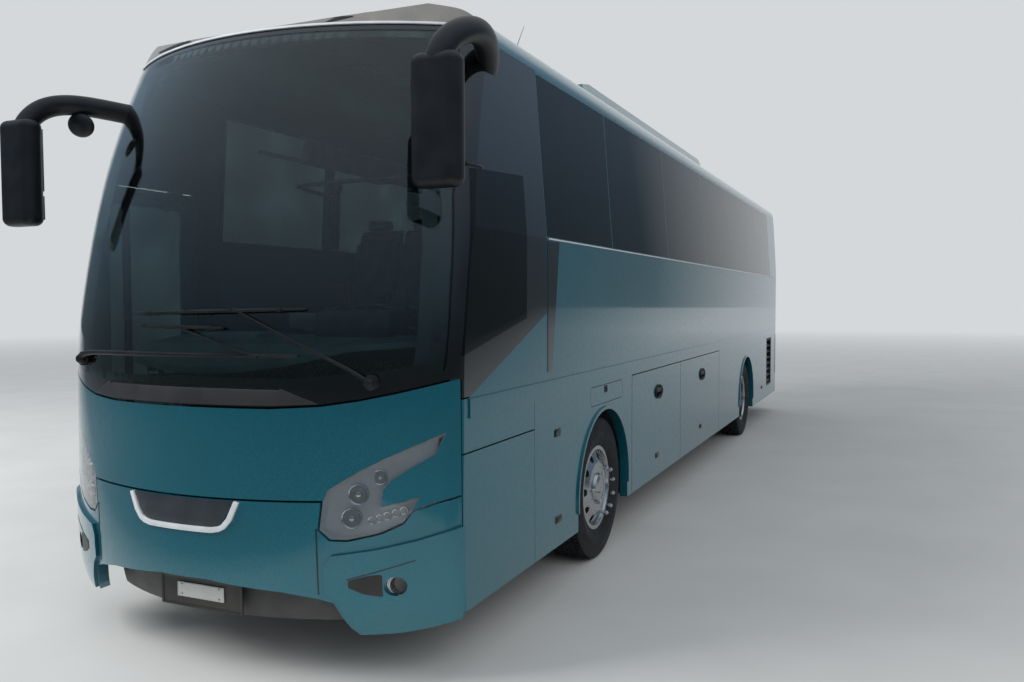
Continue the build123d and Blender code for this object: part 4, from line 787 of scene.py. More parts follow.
def rod_along(points, radius):
    """A tapered arm through (place, share of the radius) rows: a bevelled curve turned to mesh."""
    data = bpy.data.curves.new("arm", "CURVE")
    data.dimensions = "3D"
    line = data.splines.new("NURBS")
    line.points.add(len(points) - 1)
    for slot, (place, thick) in zip(line.points, points):
        slot.co = (*place, 1)
        slot.radius = thick
    line.order_u = 3
    line.use_endpoint_u = True
    data.bevel_depth = radius
    data.bevel_resolution = 3
    data.use_fill_caps = True
    data.resolution_u = 6
    piece = bpy.data.objects.new("arm", data)
    bpy.context.collection.objects.link(piece)
    only(piece)
    bpy.ops.object.convert(target="MESH")
    piece = bpy.context.object
    bpy.ops.object.mode_set(mode="EDIT")
    bpy.ops.mesh.select_all(action="SELECT")
    bpy.ops.mesh.remove_doubles(threshold=0.0001)
    bpy.ops.mesh.normals_make_consistent(inside=False)
    closed()
    return piece


def wiper_blade(y1, z1, y2, z2):
    """A blade: curved spine, its clips, and the rubber lip against the glass."""
    spans = 8
    half_clip = Vector((0.012, 0.018, 0.009))
    places = [(y1 + (y2 - y1) * step / spans, z1 + (z2 - z1) * step / spans) for step in range(spans + 1)]
    shares = [0.6 + 0.4 * sin(pi * step / spans) for step in range(spans + 1)]
    spine = rod_along([(on_screen(*place, 0.020), share) for place, share in zip(places, shares)], 0.010)
    lip = rod_along([(on_screen(y, z, 0.007), 1) for y, z in places], 0.0045)
    clips = []
    for step in range(1, spans, 2):
        place = on_screen(*places[step], 0.015)
        clips.append(plate(place - half_clip, place + half_clip, 0.003))
    return joined([spine, lip, *clips])


def wiper_pivot(y, z, radius):
    """Domed cap with a skirt over a wiper spindle."""
    cap = turned([(0.0005, 0.030), (radius * 0.7, 0.027), (radius, 0.016), (radius * 1.05, 0.0),
                  (radius * 1.5, -0.004), (radius * 1.5, -0.03), (0.0005, -0.03)], 32, False)
    return settled(cap, on_screen(y, z, 0.004), (0, 0, -pi / 2))


KERB_PIVOT = (-0.870, 1.540)
DRIVER_PIVOT = (0.968, 1.470)
# Arms as (y, z, how far off the glass, share of the radius) rows
KERB_ARM = (
    (*KERB_PIVOT, 0.006, 1.3), (-0.845, 1.566, 0.02, 1.25), (-0.72, 1.583, 0.028, 1.1),
    (-0.30, 1.590, 0.028, 1.05), (0.20, 1.592, 0.028, 1.0), (0.637, 1.591, 0.02, 0.7),
)
DRIVER_ARM = (
    (*DRIVER_PIVOT, 0.008, 1.3), (0.90, 1.506, 0.022, 1.15), (0.60, 1.664, 0.026, 0.9),
    (0.307, 1.815, 0.024, 0.7),
)
LINK = ((0.450, 1.585, 0.024, 0.9), (0.22, 1.656, 0.026, 0.8), (0.0, 1.725, 0.024, 0.7))
kerb_arm, driver_arm, link = (
    rod_along([(on_screen(y, z, lift), share) for y, z, lift, share in rows], radius)
    for rows, radius in ((KERB_ARM, 0.0125), (DRIVER_ARM, 0.0085), (LINK, 0.0075))
)
wiper_parts = joined([
    kerb_arm, driver_arm, link, wiper_pivot(*DRIVER_PIVOT, 0.024), wiper_pivot(*KERB_PIVOT, 0.026),
    wiper_blade(0.655, 1.809, -0.318, 1.790), wiper_blade(0.263, 1.720, -0.293, 1.730),
])
finished(wiper_parts, "wiper_set", TRIM_BLACK)
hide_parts("wipers")


# Sides
# Seams between the panes, as places ahead of the front axle
PANE_SEAMS = (-0.180, -1.850, -3.525, -5.200, -6.875)


def reach_y(x, z, *targets):
    """How far left the coach's side reaches at a place."""
    best = 0
    for target in targets:
        hit, place, normal, face = target.ray_cast(Vector((x, 3, z)), RIGHT)
        if hit:
            best = max(best, place.y)
    return best


# Bright line between the glass and the side panel
waist_line = plate((FRONT_AXLE_X - 9.20, 1.268, 2.2065), (FRONT_AXLE_X + 1.08, 1.279, 2.2155), 0.002)
both_sides(waist_line, "waist_line_moulding", SATIN_SILVER)

# Rubber beads that fill the gaps between the panes
beads = []
for seam in PANE_SEAMS:
    bead = plate((-0.0048, -0.008, 0), (0.0048, 0.001, 0.954), 0.0018, 2)
    settled(bead, (FRONT_AXLE_X + seam, HALF_WIDTH - 0.0026, 2.224), (0.0756, 0, 0))
    beads.append(bead)
both_sides(joined(beads), "pane_gap_beads", TRIM_BLACK)


def paddle_handle():
    """Luggage flap handle: an oval dish with a paddle to pull and a key cylinder."""
    bpy.ops.mesh.primitive_cylinder_add(vertices=40, radius=0.5, depth=0.016, rotation=(pi / 2, 0, 0))
    dish = bpy.context.object
    dish.scale = (0.235, 0.125, 1)
    settled(dish)
    stepped(dish, looks(LEFT), (0.008, 0), (0.006, -0.012))
    softened(dish, 0.0015)
    grip = plate((-0.085, -0.005, -0.004), (0.085, 0.007, 0.040), 0.006)
    stepped(grip, lambda centre, normal: normal.y > 0.9 and abs(centre.z - 0.018) < 0.02, (0.008, -0.002))
    key = turned([(0.0005, 0.006), (0.009, 0.005), (0.011, 0.002), (0.011, -0.006),
                  (0.0005, -0.006)], 20, False)
    settled(key, (0, 0, -0.030))
    return joined([dish, grip, key])


HANDLES = (("luggage_flap_front", -1.508, 1.052), ("luggage_flap_rear", -3.330, 1.061))
handle = paddle_handle()
for flap, x, z in HANDLES:
    place = (FRONT_AXLE_X + x, reach_y(FRONT_AXLE_X + x, z, NODES[flap + "_left"]) + 0.004, z)
    piece = again(handle, place)
    finished(piece, flap + "_handle_left", TRIM_BLACK, flap + "_left")
    finished(again(piece, mirrored=True), flap + "_handle_right", TRIM_BLACK, flap + "_right")
bpy.data.objects.remove(handle)


def flush_lock(x, z, width, height, target):
    """Small pressed lock escutcheon with a slotted turn latch."""
    y = reach_y(x, z, target)
    half = Vector((width / 2, 0.003, height / 2))
    base = plate(Vector((x, y, z)) - half, Vector((x, y, z)) + half, 0.002)
    stepped(base, looks(LEFT), (0.006, -0.002))
    turn = turned([(0.0005, 0.006), (0.010, 0.0055), (0.012, 0.003), (0.012, -0.004),
                   (0.0005, -0.004)], 20, False)
    settled(turn, (x, y, z))
    slot = plate((x - 0.002, y + 0.004, z - 0.009), (x + 0.002, y + 0.0075, z + 0.009), 0.0006, 1)
    return joined([base, turn, slot])


fuel_lock = flush_lock(FRONT_AXLE_X - 0.02, 1.215, 0.062, 0.05, NODES["fuel_flap"])
finished(fuel_lock, "fuel_flap_lock", TRIM_BLACK, "fuel_flap")


def side_marker(width, height, bulge):
    """A side lamp: a shallow rounded lens in a black bezel."""
    rim, x, z = 0.006, width / 2, height / 2
    bezel = plate((-x - rim, -0.004, -z - rim), (x + rim, 0.005, z + rim), 0.003)
    lens = plate((-x, -0.004, -z), (x, bulge, z), min(height, width) * 0.3, 4)
    stepped(lens, looks(LEFT, 0.95), (min(height, width) * 0.08, 0.001))
    return bezel, lens


MARKERS = (
    ("front_flank", 0.929, 0.494, AMBER_LENS, 0.09, 0.032, "skirts"),
    ("wing_repeater", 0.945, 1.034, LENS, 0.085, 0.035, "skirts"),
    ("middle_front", -1.465, 0.502, AMBER_LENS, 0.09, 0.032, "luggage_flap_front_left"),
    ("middle_rear", -3.268, 0.516, AMBER_LENS, 0.09, 0.032, "luggage_flap_rear_left"),
    ("tail_flank", -7.70, 0.520, AMBER_LENS, 0.09, 0.032, "skirts"),
)
for label, x, z, lens_finish, width, height, target in MARKERS:
    y = max(reach_y(FRONT_AXLE_X + x, z, NODES[target], NODES["quarter_panels"], WALLS), 1.2)
    bezel, lens = side_marker(width, height, 0.009)
    body = target if target.startswith("luggage") else "root"
    for piece, kind, finish in ((bezel, "bezel", TRIM_BLACK), (lens, "lens", lens_finish)):
        piece.location = (FRONT_AXLE_X + x, y, z)
        finished(piece, f"{label}_marker_{kind}_left", finish, body)
        twin_body = body.replace("_left", "_right")
        finished(again(piece, mirrored=True), f"{label}_marker_{kind}_right", finish, twin_body)

# Dark slanted panel at the front end of the side panel, left bare
DARK_END = ((4.455, 2.198), (4.262, 2.198), (4.385, 1.420), (4.455, 1.420))
dark_end = cover(WALLS, DARK_END, 0, 0.2, 0.0005, 0.002, ahead=False)
both_sides(dark_end, "side_panel_dark_end", GLOSS_BLACK)


# Cabin
FILL_PRESSURE = 4.0
FILL_FRAMES = 14


def stuffed(piece, voxel, give):
    """Blows a form up under Cloth with inner pressure, each point kept within a short way of its start."""
    modified(piece, "REMESH", mode="VOXEL", voxel_size=voxel)
    start = [vertex.co.copy() for vertex in piece.data.vertices]
    only(piece)
    sim = piece.modifiers.new("filling", "CLOTH")
    sim.settings.quality = 4
    sim.settings.mass = 0.3
    sim.settings.use_pressure = True
    sim.settings.uniform_pressure_force = FILL_PRESSURE
    sim.settings.effector_weights.gravity = 0
    sim.collision_settings.use_collision = False
    scene = bpy.context.scene
    for number in range(1, FILL_FRAMES + 1):
        scene.frame_set(number)
    shaped = piece.evaluated_get(bpy.context.evaluated_depsgraph_get())
    ends = [vertex.co.copy() for vertex in shaped.data.vertices]
    piece.modifiers.remove(sim)
    for vertex, old, new in zip(piece.data.vertices, start, ends):
        move = new - old
        vertex.co = old + move * min(1.0, give / max(move.length, 1e-6))
    scene.frame_set(1)
    return piece


def pad_form(low, high, edge, crown_axis, crown):
    """A box with full edges and its main face pushed out at the middle, ready to be filled."""
    piece = plate(low, high, edge, 3)
    pick(piece, lambda centre, normal: True)
    bpy.ops.mesh.select_all(action="SELECT")
    bpy.ops.mesh.subdivide(number_cuts=3)
    closed()
    middle = (Vector(low) + Vector(high)) / 2
    half = (Vector(high) - Vector(low)) / 2
    for vertex in piece.data.vertices:
        away = [(vertex.co[axis] - middle[axis]) / half[axis] for axis in range(3)]
        if away[crown_axis] > 0.5:
            spare = [away[axis] for axis in range(3) if axis != crown_axis]
            vertex.co[crown_axis] += crown * (1 - spare[0] ** 2) * (1 - spare[1] ** 2)
    return piece


BACK_LEAN = radians(12)


def lean_back(piece):
    """Turns a piece built upright by the backrest's lean."""
    return settled(piece, (0.02, 0, 0.39), (0, -BACK_LEAN, 0))


def seat_pads(voxel):
    """One seat's cushion, back, side bolsters and headrest, facing forward, its floor at z = 0."""
    cushion = stuffed(pad_form((0.02, -0.205, 0.335), (0.44, 0.205, 0.415), 0.03, 2, 0.012), voxel, 0.010)
    back = stuffed(pad_form((-0.085, -0.195, 0.0), (-0.02, 0.195, 0.70), 0.028, 0, 0.010), voxel, 0.010)
    bolsters = []
    for y in (-0.165, 0.165):
        form = pad_form((-0.07, y - 0.028, 0.12), (0.018, y + 0.028, 0.60), 0.024, 0, 0.004)
        bolsters.append(stuffed(form, voxel, 0.005))
    head = stuffed(pad_form((-0.085, -0.12, 0.705), (-0.012, 0.12, 0.80), 0.028, 0, 0.008), voxel, 0.006)
    return joined([cushion] + [lean_back(part) for part in (back, *bolsters, head)])


def bench_frame():
    """Frame of a double seat: legs, cross rails, back shells, armrests and a magazine net rail."""
    parts = [
        plate((0.10, -0.04, 0.0), (0.34, 0.04, 0.02), 0.006),
        plate((0.13, -0.025, 0.015), (0.31, 0.025, 0.325), 0.012),
        plate((0.05, -0.42, 0.300), (0.10, 0.42, 0.330), 0.008),
        plate((0.36, -0.42, 0.300), (0.41, 0.42, 0.330), 0.008),
    ]
    for y in (-0.22, 0.22):
        shell = plate((-0.108, y - 0.205, -0.02), (-0.088, y + 0.205, 0.72), 0.009)
        stepped(shell, looks(BACK), (0.03, -0.006))
        parts.append(lean_back(shell))
        parts.append(lean_back(bar((-0.112, y - 0.15, 0.25), (-0.112, y + 0.15, 0.25), 0.006, 10)))
    for y in (-0.43, 0.43):
        parts.append(plate((-0.02, y - 0.022, 0.600), (0.30, y + 0.022, 0.628), 0.010))
        parts.append(plate((-0.03, y - 0.012, 0.42), (0.01, y + 0.012, 0.605), 0.006))
    return joined(parts)


SEAT_ROWS = 12
SEAT_PITCH = 0.79
SEAT_TAIL_X = TAIL_X + 0.42
SEAT_Y = 0.69
DECK_Z = 1.37


def passenger_seats():
    """Twelve rows of two double seats; pads and frames in one piece a side."""
    single = seat_pads(0.026)
    pair = joined([again(single, (0, -0.22, 0)), again(single, (0, 0.22, 0))])
    settled(pair)
    bpy.data.objects.remove(single)
    bench = bench_frame()
    for side, sign in SIDES:
        places = [(SEAT_TAIL_X + row * SEAT_PITCH, sign * SEAT_Y, DECK_Z) for row in range(SEAT_ROWS)]
        for model, label, finish in ((pair, "pads", SEAT_CLOTH), (bench, "frames", SEAT_SHELL)):
            copies = [again(model, place) for place in places]
            piece = finished(joined(copies), f"passenger_seat_{label}_{side}", finish, angle=60)
    for piece in (pair, bench):
        bpy.data.objects.remove(piece)
    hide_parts("passenger_seats")


passenger_seats()


def driver_seat():
    """Driver's seat on a sprung pedestal with a pleated bellows and an armrest."""
    x, y, floor_z = FRONT_AXLE_X + 1.18, 0.62, 1.0
    pads = seat_pads(0.014)
    pads.location = (x, y, floor_z)
    finished(pads, "driver_seat_pads", SEAT_CLOTH, angle=60)
    bellows = [(0.0005, 0.02)]
    for fold in range(7):
        z = 0.03 + fold * 0.036
        bellows += [(0.155, z), (0.135, z + 0.018)]
    bellows += [(0.150, 0.29), (0.0005, 0.29)]
    skirt = turned(bellows, 32, False)
    skirt.rotation_euler = (pi / 2, 0, 0)
    skirt.location = (0.22, 0, 0)
    pedestal = joined([
        skirt,
        plate((0.03, -0.17, 0.0), (0.41, 0.17, 0.022), 0.006),
        plate((0.02, -0.20, 0.29), (0.43, 0.20, 0.333), 0.01),
        lean_back(plate((-0.108, -0.205, -0.02), (-0.088, 0.205, 0.74), 0.009)),
        plate((-0.02, -0.262, 0.60), (0.26, -0.222, 0.635), 0.012),
    ])
    pedestal.location = (x, y, floor_z)
    finished(pedestal, "driver_seat_frame", SEAT_SHELL, angle=50)
    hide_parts("driver_seat")


driver_seat()


PLEATS = 6
CURTAIN_LOW_Z = 2.275
CURTAIN_HIGH_Z = 2.815


def gathered_curtain(x, y_low, lean):
    """A curtain drawn aside: even pleats, tighter at the heading, each wandering a little towards the hem."""
    steps, rows, width = 10, 9, 0.165
    drop = CURTAIN_HIGH_Z - CURTAIN_LOW_Z
    count = PLEATS * steps
    points = []
    for row in range(rows):
        height = row / (rows - 1)
        squeeze = 0.90 + 0.10 * (1 - height)
        for number in range(count + 1):
            share = number / count
            wave = sin(2 * pi * PLEATS * share + 0.5 * sin(3.1 * height + 7 * share))
            depth = 0.012 + 0.004 * (1 - height) + 0.002 * sin(11 * share + 2 * height)
            y = y_low - lean * height + wave * depth
            points.append((x + (share - 0.5) * width * squeeze, y, CURTAIN_LOW_Z + drop * height))
    faces = []
    for row in range(rows - 1):
        for number in range(count):
            first = row * (count + 1) + number
            faces.append((first, first + 1, first + count + 2, first + count + 1))
    mesh = bpy.data.meshes.new("curtain")
    mesh.from_pydata(points, [], faces)
    piece = bpy.data.objects.new("curtain", mesh)
    bpy.context.collection.objects.link(piece)
    modified(piece, "SOLIDIFY", thickness=0.0016, offset=0)
    return piece


def curtains():
    """One gathered curtain by each pillar, both sides; each hangs from the rack above it."""
    cut, spans, mean_width, pleat_depth = 0.0, 60, 0.157, 0.013
    # One row of the sheet, measured along its six pleats, is the width it was cut to
    for number in range(spans):
        here, there = number / spans, (number + 1) / spans
        rise = pleat_depth * (sin(2 * pi * PLEATS * there) - sin(2 * pi * PLEATS * here))
        cut += (((there - here) * mean_width) ** 2 + rise ** 2) ** 0.5
    first = None
    for number, seam in enumerate(PANE_SEAMS):
        for side, sign in SIDES:
            piece = gathered_curtain(FRONT_AXLE_X + seam, 1.165, 0.041)
            if sign < 0:
                original = piece
                piece = again(original, mirrored=True)
                bpy.data.objects.remove(original)
            finished(piece, f"curtain_{number + 1}_{side}", CURTAIN_CLOTH, angle=70)
            first = first or piece
    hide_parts("curtains")


curtains()


def dashboard_fittings():
    """Instrument hood with two bare dials, screen, switch row, vents and a ticket tray on the dashboard."""
    x, y, z = FRONT_AXLE_X + 2.03, 0.62, 1.665
    hood = plate((x - 0.05, y - 0.23, z - 0.03), (x + 0.16, y + 0.23, z + 0.135), 0.03, 4)
    stepped(hood, looks(BACK), (0.012, 0), (0.010, -0.03))
    parts = [hood]
    for offset in (-0.105, 0.105):
        dial = turned([(0.0005, 0.004), (0.066, 0.004), (0.070, 0.012), (0.076, 0.012), (0.078, -0.002),
                       (0.0005, -0.002)], 40, False)
        parts.append(settled(dial, (x - 0.024, y + offset, z + 0.05), (0, 0, pi / 2)))
    for number in range(8):
        switch_y = y - 0.50 + number * 0.034
        parts.append(plate((x - 0.045, switch_y, z - 0.075), (x - 0.028, switch_y + 0.028, z - 0.030), 0.004))
    for vent_y in (y - 0.34, y + 0.33):
        vent = plate((x - 0.04, vent_y - 0.055, z - 0.015), (x - 0.01, vent_y + 0.055, z + 0.055), 0.008)
        stepped(vent, looks(BACK), (0.006, -0.010))
        parts.append(vent)
        for slat in range(4):
            slat_z = z + slat * 0.015
            low, high = (x - 0.038, vent_y - 0.047, slat_z - 0.004), (x - 0.022, vent_y + 0.047, slat_z)
            parts.append(plate(low, high, 0.001, 1))
    finished(joined(parts), "instrument_cluster", DASH_BLACK, angle=45)
    tray = plate((x - 0.02, -0.30, z - 0.05), (x + 0.24, 0.10, z + 0.015), 0.012)
    stepped(tray, looks(UP), (0.014, -0.02))
    finished(tray, "dashboard_tray", DASH_GREY, angle=45)
    screen = plate((x + 0.02, 0.14, z - 0.02), (x + 0.045, 0.34, z + 0.115), 0.006)
    stepped(screen, looks(BACK), (0.010, -0.002))
    finished(screen, "route_screen", GLOSS_BLACK, angle=45)


dashboard_fittings()


def passenger_service_units():
    """Reading lamps and air nozzles over each row, under the racks."""
    model = plate((-0.16, -0.055, -0.018), (0.16, 0.055, 0.0), 0.008)
    parts = [model]
    for offset in (-0.10, -0.05, 0.05, 0.10):
        eye = turned([(0.0005, 0.010), (0.010, 0.009), (0.014, 0.004), (0.016, -0.002),
                      (0.0005, -0.002)], 18, False)
        parts.append(settled(eye, (offset, 0.0, -0.018), (-pi / 2, 0, 0)))
    unit = joined(parts)
    for side, sign in SIDES:
        places = [(SEAT_TAIL_X + 0.1 + row * SEAT_PITCH, sign * 0.80, 2.838) for row in range(SEAT_ROWS)]
        row_units = [again(unit, place) for place in places]
        finished(joined(row_units), f"service_units_{side}", RACK_GREY, angle=45)
    bpy.data.objects.remove(unit)


passenger_service_units()


# Rear and roof
# Height of each tail lamp's middle, its radius and its lens
TAIL_LAMPS = (
    (1.42, 0.060, RED_LENS), (1.24, 0.060, RED_LENS), (1.06, 0.060, AMBER_LENS), (0.895, 0.055, LENS),
)


def lamp_cluster():
    """Four round tail lamps in a black housing: brake, tail, turn and reverse, one above another."""
    parts = [plate((-6.092, 1.012, 0.812), (-6.05, 1.218, 1.488), 0.006)]
    lenses = []
    for z, radius, finish in TAIL_LAMPS:
        place, turn = (-6.090, 1.115, z), (0, 0, pi / 2)
        ring = turned([(radius, 0.016), (radius + 0.010, 0.014), (radius + 0.016, 0.004),
                       (radius + 0.016, -0.01), (radius, -0.01)], 40)
        parts.append(settled(ring, place, turn))
        lens = turned([(0.0005, 0.008), (radius * 0.35, 0.0078), (radius * 0.38, 0.010),
                       (radius * 0.75, 0.0085), (radius * 0.78, 0.011), (radius - 0.001, 0.006),
                       (radius - 0.001, -0.004), (0.0005, -0.004)], 40, False)
        lenses.append((settled(lens, place, turn), finish))
    return joined(parts), lenses


housing, tail_lenses = lamp_cluster()
both_sides(housing, "tail_lamp_housing", TRIM_BLACK, angle=35)
for number, (lens, finish) in enumerate(tail_lenses, 1):
    finished(lens, f"tail_lens_{number}_left", finish, angle=35)
    finished(again(lens, mirrored=True), f"tail_lens_{number}_right", finish, angle=35)
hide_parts("tail_lamps")


def tail_x(y, z, *targets):
    """How far back the coach's rear reaches at a place."""
    reach = -5.0
    for target in targets:
        hit, place, normal, face = target.ray_cast(Vector((-FAR, y, z)), AHEAD)
        if hit:
            reach = min(reach, place.x)
    return reach


def rear_fittings():
    """Plate recess and its hood, the engine lid's grille slats and grip, reflectors and marker lamps."""
    lid = NODES["engine_lid"]
    tail_bumper = NODES["rear_bumper"]
    wall = NODES["rear_wall"]
    slats = []
    for row in range(11):
        z = 1.03 + row * 0.045
        x = tail_x(0, z, lid)
        slats.append(plate((x - 0.002, -0.62, z - 0.010), (x + 0.020, 0.62, z + 0.014), 0.004))
    near, far = sorted((tail_x(0, 1.00, lid), tail_x(0, 1.52, lid)))
    for y in (-0.65, 0.625):
        slats.append(plate((near - 0.004, y, 0.99), (far + 0.01, y + 0.025, 1.53), 0.005))
    finished(joined(slats), "engine_lid_grille", TRIM_BLACK, "engine_lid")
    x = tail_x(0, 0.80, lid)
    recess = plate((x - 0.003, -0.30, 0.70), (x + 0.012, 0.30, 0.90), 0.006)
    stepped(recess, looks(BACK), (0.014, -0.004))
    hood = plate((x - 0.006, -0.20, 0.885), (x + 0.012, 0.20, 0.91), 0.006)
    finished(joined([recess, hood]), "rear_plate_recess", TRIM_BLACK, "engine_lid")
    blank = plate((x - 0.006, -0.26, 0.745), (x + 0.004, 0.26, 0.855), 0.002)
    stepped(blank, looks(BACK), (0.005, 0), (0.002, -0.001))
    finished(blank, "rear_plate_blank", PLATE_WHITE, "engine_lid")
    for label, sign in SIDES:
        y = sign * 0.93
        x = tail_x(y, 0.5, tail_bumper)
        reflector = plate((x - 0.006, y - 0.05, 0.46), (x + 0.004, y + 0.05, 0.54), 0.004)
        stepped(reflector, looks(BACK), (0.005, -0.0015))
        finished(reflector, f"rear_reflector_{label}", RED_LENS)
        y = sign * 1.02
        x = tail_x(y, 3.12, wall)
        marker = plate((x - 0.008, y - 0.045, 3.10), (x + 0.006, y + 0.045, 3.135), 0.007)
        stepped(marker, looks(BACK), (0.004, -0.001))
        finished(marker, f"rear_top_marker_{label}", RED_LENS)
    x = tail_x(0, 0.95, lid)
    grip = plate((x - 0.008, -0.08, 0.935), (x + 0.008, 0.08, 0.975), 0.008)
    stepped(grip, looks(DOWN), (0.005, -0.012))
    finished(grip, "engine_lid_grip", TRIM_BLACK, "engine_lid")


rear_fittings()


def fan_guards():
    """Wire guards over the air conditioner's six condenser fans."""
    unit = NODES["roof_air_conditioner"]
    guards = []
    guard_r = 0.25
    for x in (FRONT_AXLE_X - 2.1, FRONT_AXLE_X - 2.9, FRONT_AXLE_X - 3.7):
        for y in (-0.32, 0.32):
            hit, place, normal, face = unit.ray_cast(Vector((x, y, FAR)), DOWN)
            top = place.z if hit else 3.64
            rings = [turned([(0.245, 0.002), (0.262, 0.001), (0.262, -0.012), (0.245, -0.012)], 48)]
            for radius in (0.05, 0.10, 0.15, 0.20):
                outer = radius + 0.005
                rings.append(turned([(radius, 0.001), (outer, 0.001), (outer, -0.005), (radius, -0.005)], 36))
            for number in range(6):
                turn = pi * number / 6
                across, up = guard_r * cos(turn), guard_r * sin(turn)
                rings.append(bar((-across, -0.003, -up), (across, -0.003, up), 0.0028, 8))
            guard = joined(rings)
            settled(guard, (x, y, top - 0.001), (pi / 2, 0, 0))
            guards.append(guard)
    finished(joined(guards), "condenser_fan_guards", TRIM_BLACK)


fan_guards()


def hatch_details(name, x):
    """Three raised ribs on a roof hatch."""
    lid = NODES[name]
    parts = []
    for y in (-0.18, 0.0, 0.18):
        hit, place, normal, face = lid.ray_cast(Vector((x, y, FAR)), DOWN)
        low, high = (x - 0.26, y - 0.02, place.z - 0.004), (x + 0.26, y + 0.02, place.z + 0.006)
        parts.append(plate(low, high, 0.005))
    finished(joined(parts), name + "_ribs", CAP_GREY, name)


hatch_details("roof_hatch_front", FRONT_AXLE_X + 0.7)
hatch_details("roof_hatch_rear", FRONT_AXLE_X - 7.2)


def aerial():
    """Whip aerial on its sprung foot above the driver's window."""
    x, y = FRONT_AXLE_X + 0.734, 0.90
    hit, place, normal, face = NODES["roof_panel"].ray_cast(Vector((x, y, FAR)), DOWN)
    foot = turned([(0.0005, 0.022), (0.008, 0.021), (0.011, 0.014), (0.02, 0.004), (0.022, -0.004),
                   (0.0005, -0.004)], 24, False)
    settled(foot, place, (pi / 2, 0, 0))
    # Rows are how far behind and above the foot, and the share of the radius
    whip_top = min(3.655 - place.z, 0.26)
    spring = ((0, 0.015, 1.0), (-0.02, 0.05, 0.9), (-0.045, 0.095, 0.8))
    tip = ((-0.04, 0.085, 1.0), (-0.10, 0.17, 0.8), (-0.17, whip_top, 0.5))
    lower, whip = (
        rod_along([(place + Vector((back, 0, rise)), share) for back, rise, share in rows], radius)
        for rows, radius in ((spring, 0.005), (tip, 0.0022))
    )
    finished(joined([foot, lower, whip]), "whip_aerial", TRIM_BLACK, angle=50)


aerial()


# Mirrors and windows
def mirror_glass(middle, name):
    """The two panes in the back of a mirror housing: a tall one over a low wide-angle one."""
    x, y, z = middle[0] - 0.065, middle[1], middle[2]
    parts = []
    for low_z, high_z in ((-0.10, 0.255), (-0.262, -0.125)):
        pane = plate((x - 0.0035, y - 0.100, z + low_z), (x + 0.004, y + 0.100, z + high_z), 0.003)
        stepped(pane, looks(BACK), (0.006, -0.0015))
        parts.append(pane)
    return finished(joined(parts), name, MIRROR_GLASS)


LEFT_MIRROR = (FRONT_AXLE_X + 2.450, 1.275, 2.655)
RIGHT_MIRROR = (FRONT_AXLE_X + 2.475, -1.410, 2.580)
mirror_glass(LEFT_MIRROR, "mirror_glass_left")
mirror_glass(RIGHT_MIRROR, "mirror_glass_right")


def side_bead(points, width, name, finish, targets):
    """A round bead along (x, z) points of the left side, following its surface."""
    rows = []
    for (x1, z1), (x2, z2) in zip(points, points[1:]):
        steps = max(2, int(((x2 - x1) ** 2 + (z2 - z1) ** 2) ** 0.5 / 0.08))
        for number in range(steps):
            share = number / steps
            rows.append((x1 + (x2 - x1) * share, z1 + (z2 - z1) * share))
    rows.append(points[-1])
    places = [(Vector((x, reach_y(x, z, *targets), z)), 1.0) for x, z in rows]
    return finished(rod_along(places, width / 2), name, finish, angle=50)


SIDE_SKIN = (MASK, WALLS, SCREEN, NODES["quarter_panels"])
DRIP_RAIL = ((5.42, 2.52), (5.1, 2.50), (4.80, 2.475))
side_bead(DRIP_RAIL, 0.024, "driver_window_drip_rail", TRIM_BLACK, SIDE_SKIN)


# Seams and lamp surrounds of the bumper, with painted shade in the recess and crease beside each fog lamp
def turned_ahead(piece, y, z, target):
    """Moves a turned piece onto the front surface, facing out of it."""
    hit, place, normal, face = target.ray_cast(Vector((FAR, y, z)), BACK)
    return settled(piece, place, normal.to_track_quat("Y", "Z").to_euler())


FOG_Y, FOG_Z = 1.035, 0.500
# The ring is laid on the bumper this far outboard of the lamp, where the surface has the lamp's lean
RING_SHIFT = 0.062
# Outline of the flat black sheet beside each fog lamp: painted shade for the recess there
RECESS_SHADE = ((0.845, 0.536), (0.842, 0.503), (0.905, 0.470), (0.984, 0.452), (0.984, 0.560), (0.93, 0.557))
for label, sign in SIDES:
    strip_on(BUMPER, [(sign * 0.705, 0.462), (sign * 0.705, 0.62), (sign * 0.703, 0.78)], 0.007, 0.0012,
             f"bumper_seam_{label}", TRIM_BLACK, lift=0.0004)
    # Painted shade: a flat black sheet laid on the bumper stands for the shaded recess beside the fog lamp
    recess = cover(BUMPER, [(sign * y, z) for y, z in RECESS_SHADE], 0.008, 0.03, 0.0004, 0.0016)
    finished(recess, f"fog_lamp_recess_shade_{label}", TRIM_BLACK)
    # Painted shadow: a thin dark strip along the crease above the fog lamp stands for the shade under its
    # edge
    strip_on(BUMPER, [(sign * 0.838, 0.540), (sign * 0.96, 0.574), (sign * 1.117, 0.621)], 0.006, 0.0014,
             f"fog_lamp_crease_shadow_{label}", CAP_DARK, lift=0.0004)
fog_ring = turned([(0.0462, -0.010), (0.0462, 0.002), (0.049, 0.0055), (0.056, 0.005), (0.0605, 0.0015),
                   (0.0605, -0.010)], 48)
fog_ring = turned_ahead(fog_ring, FOG_Y + RING_SHIFT, FOG_Z, BUMPER)
settled(fog_ring, (0, -RING_SHIFT, 0))
both_sides(fog_ring, "fog_lamp_ring", CHROME, angle=35)


# Floor, light and camera
CAMERA_PLACE = (9.3126, 3.1970, 1.8451)
# The level direction in which the camera looks
CAMERA_HEADING = (-0.9140, -0.4067, 0)
PALE_HAZE = "#E4E8EB"
DEEP_HAZE = "#4F5A60"


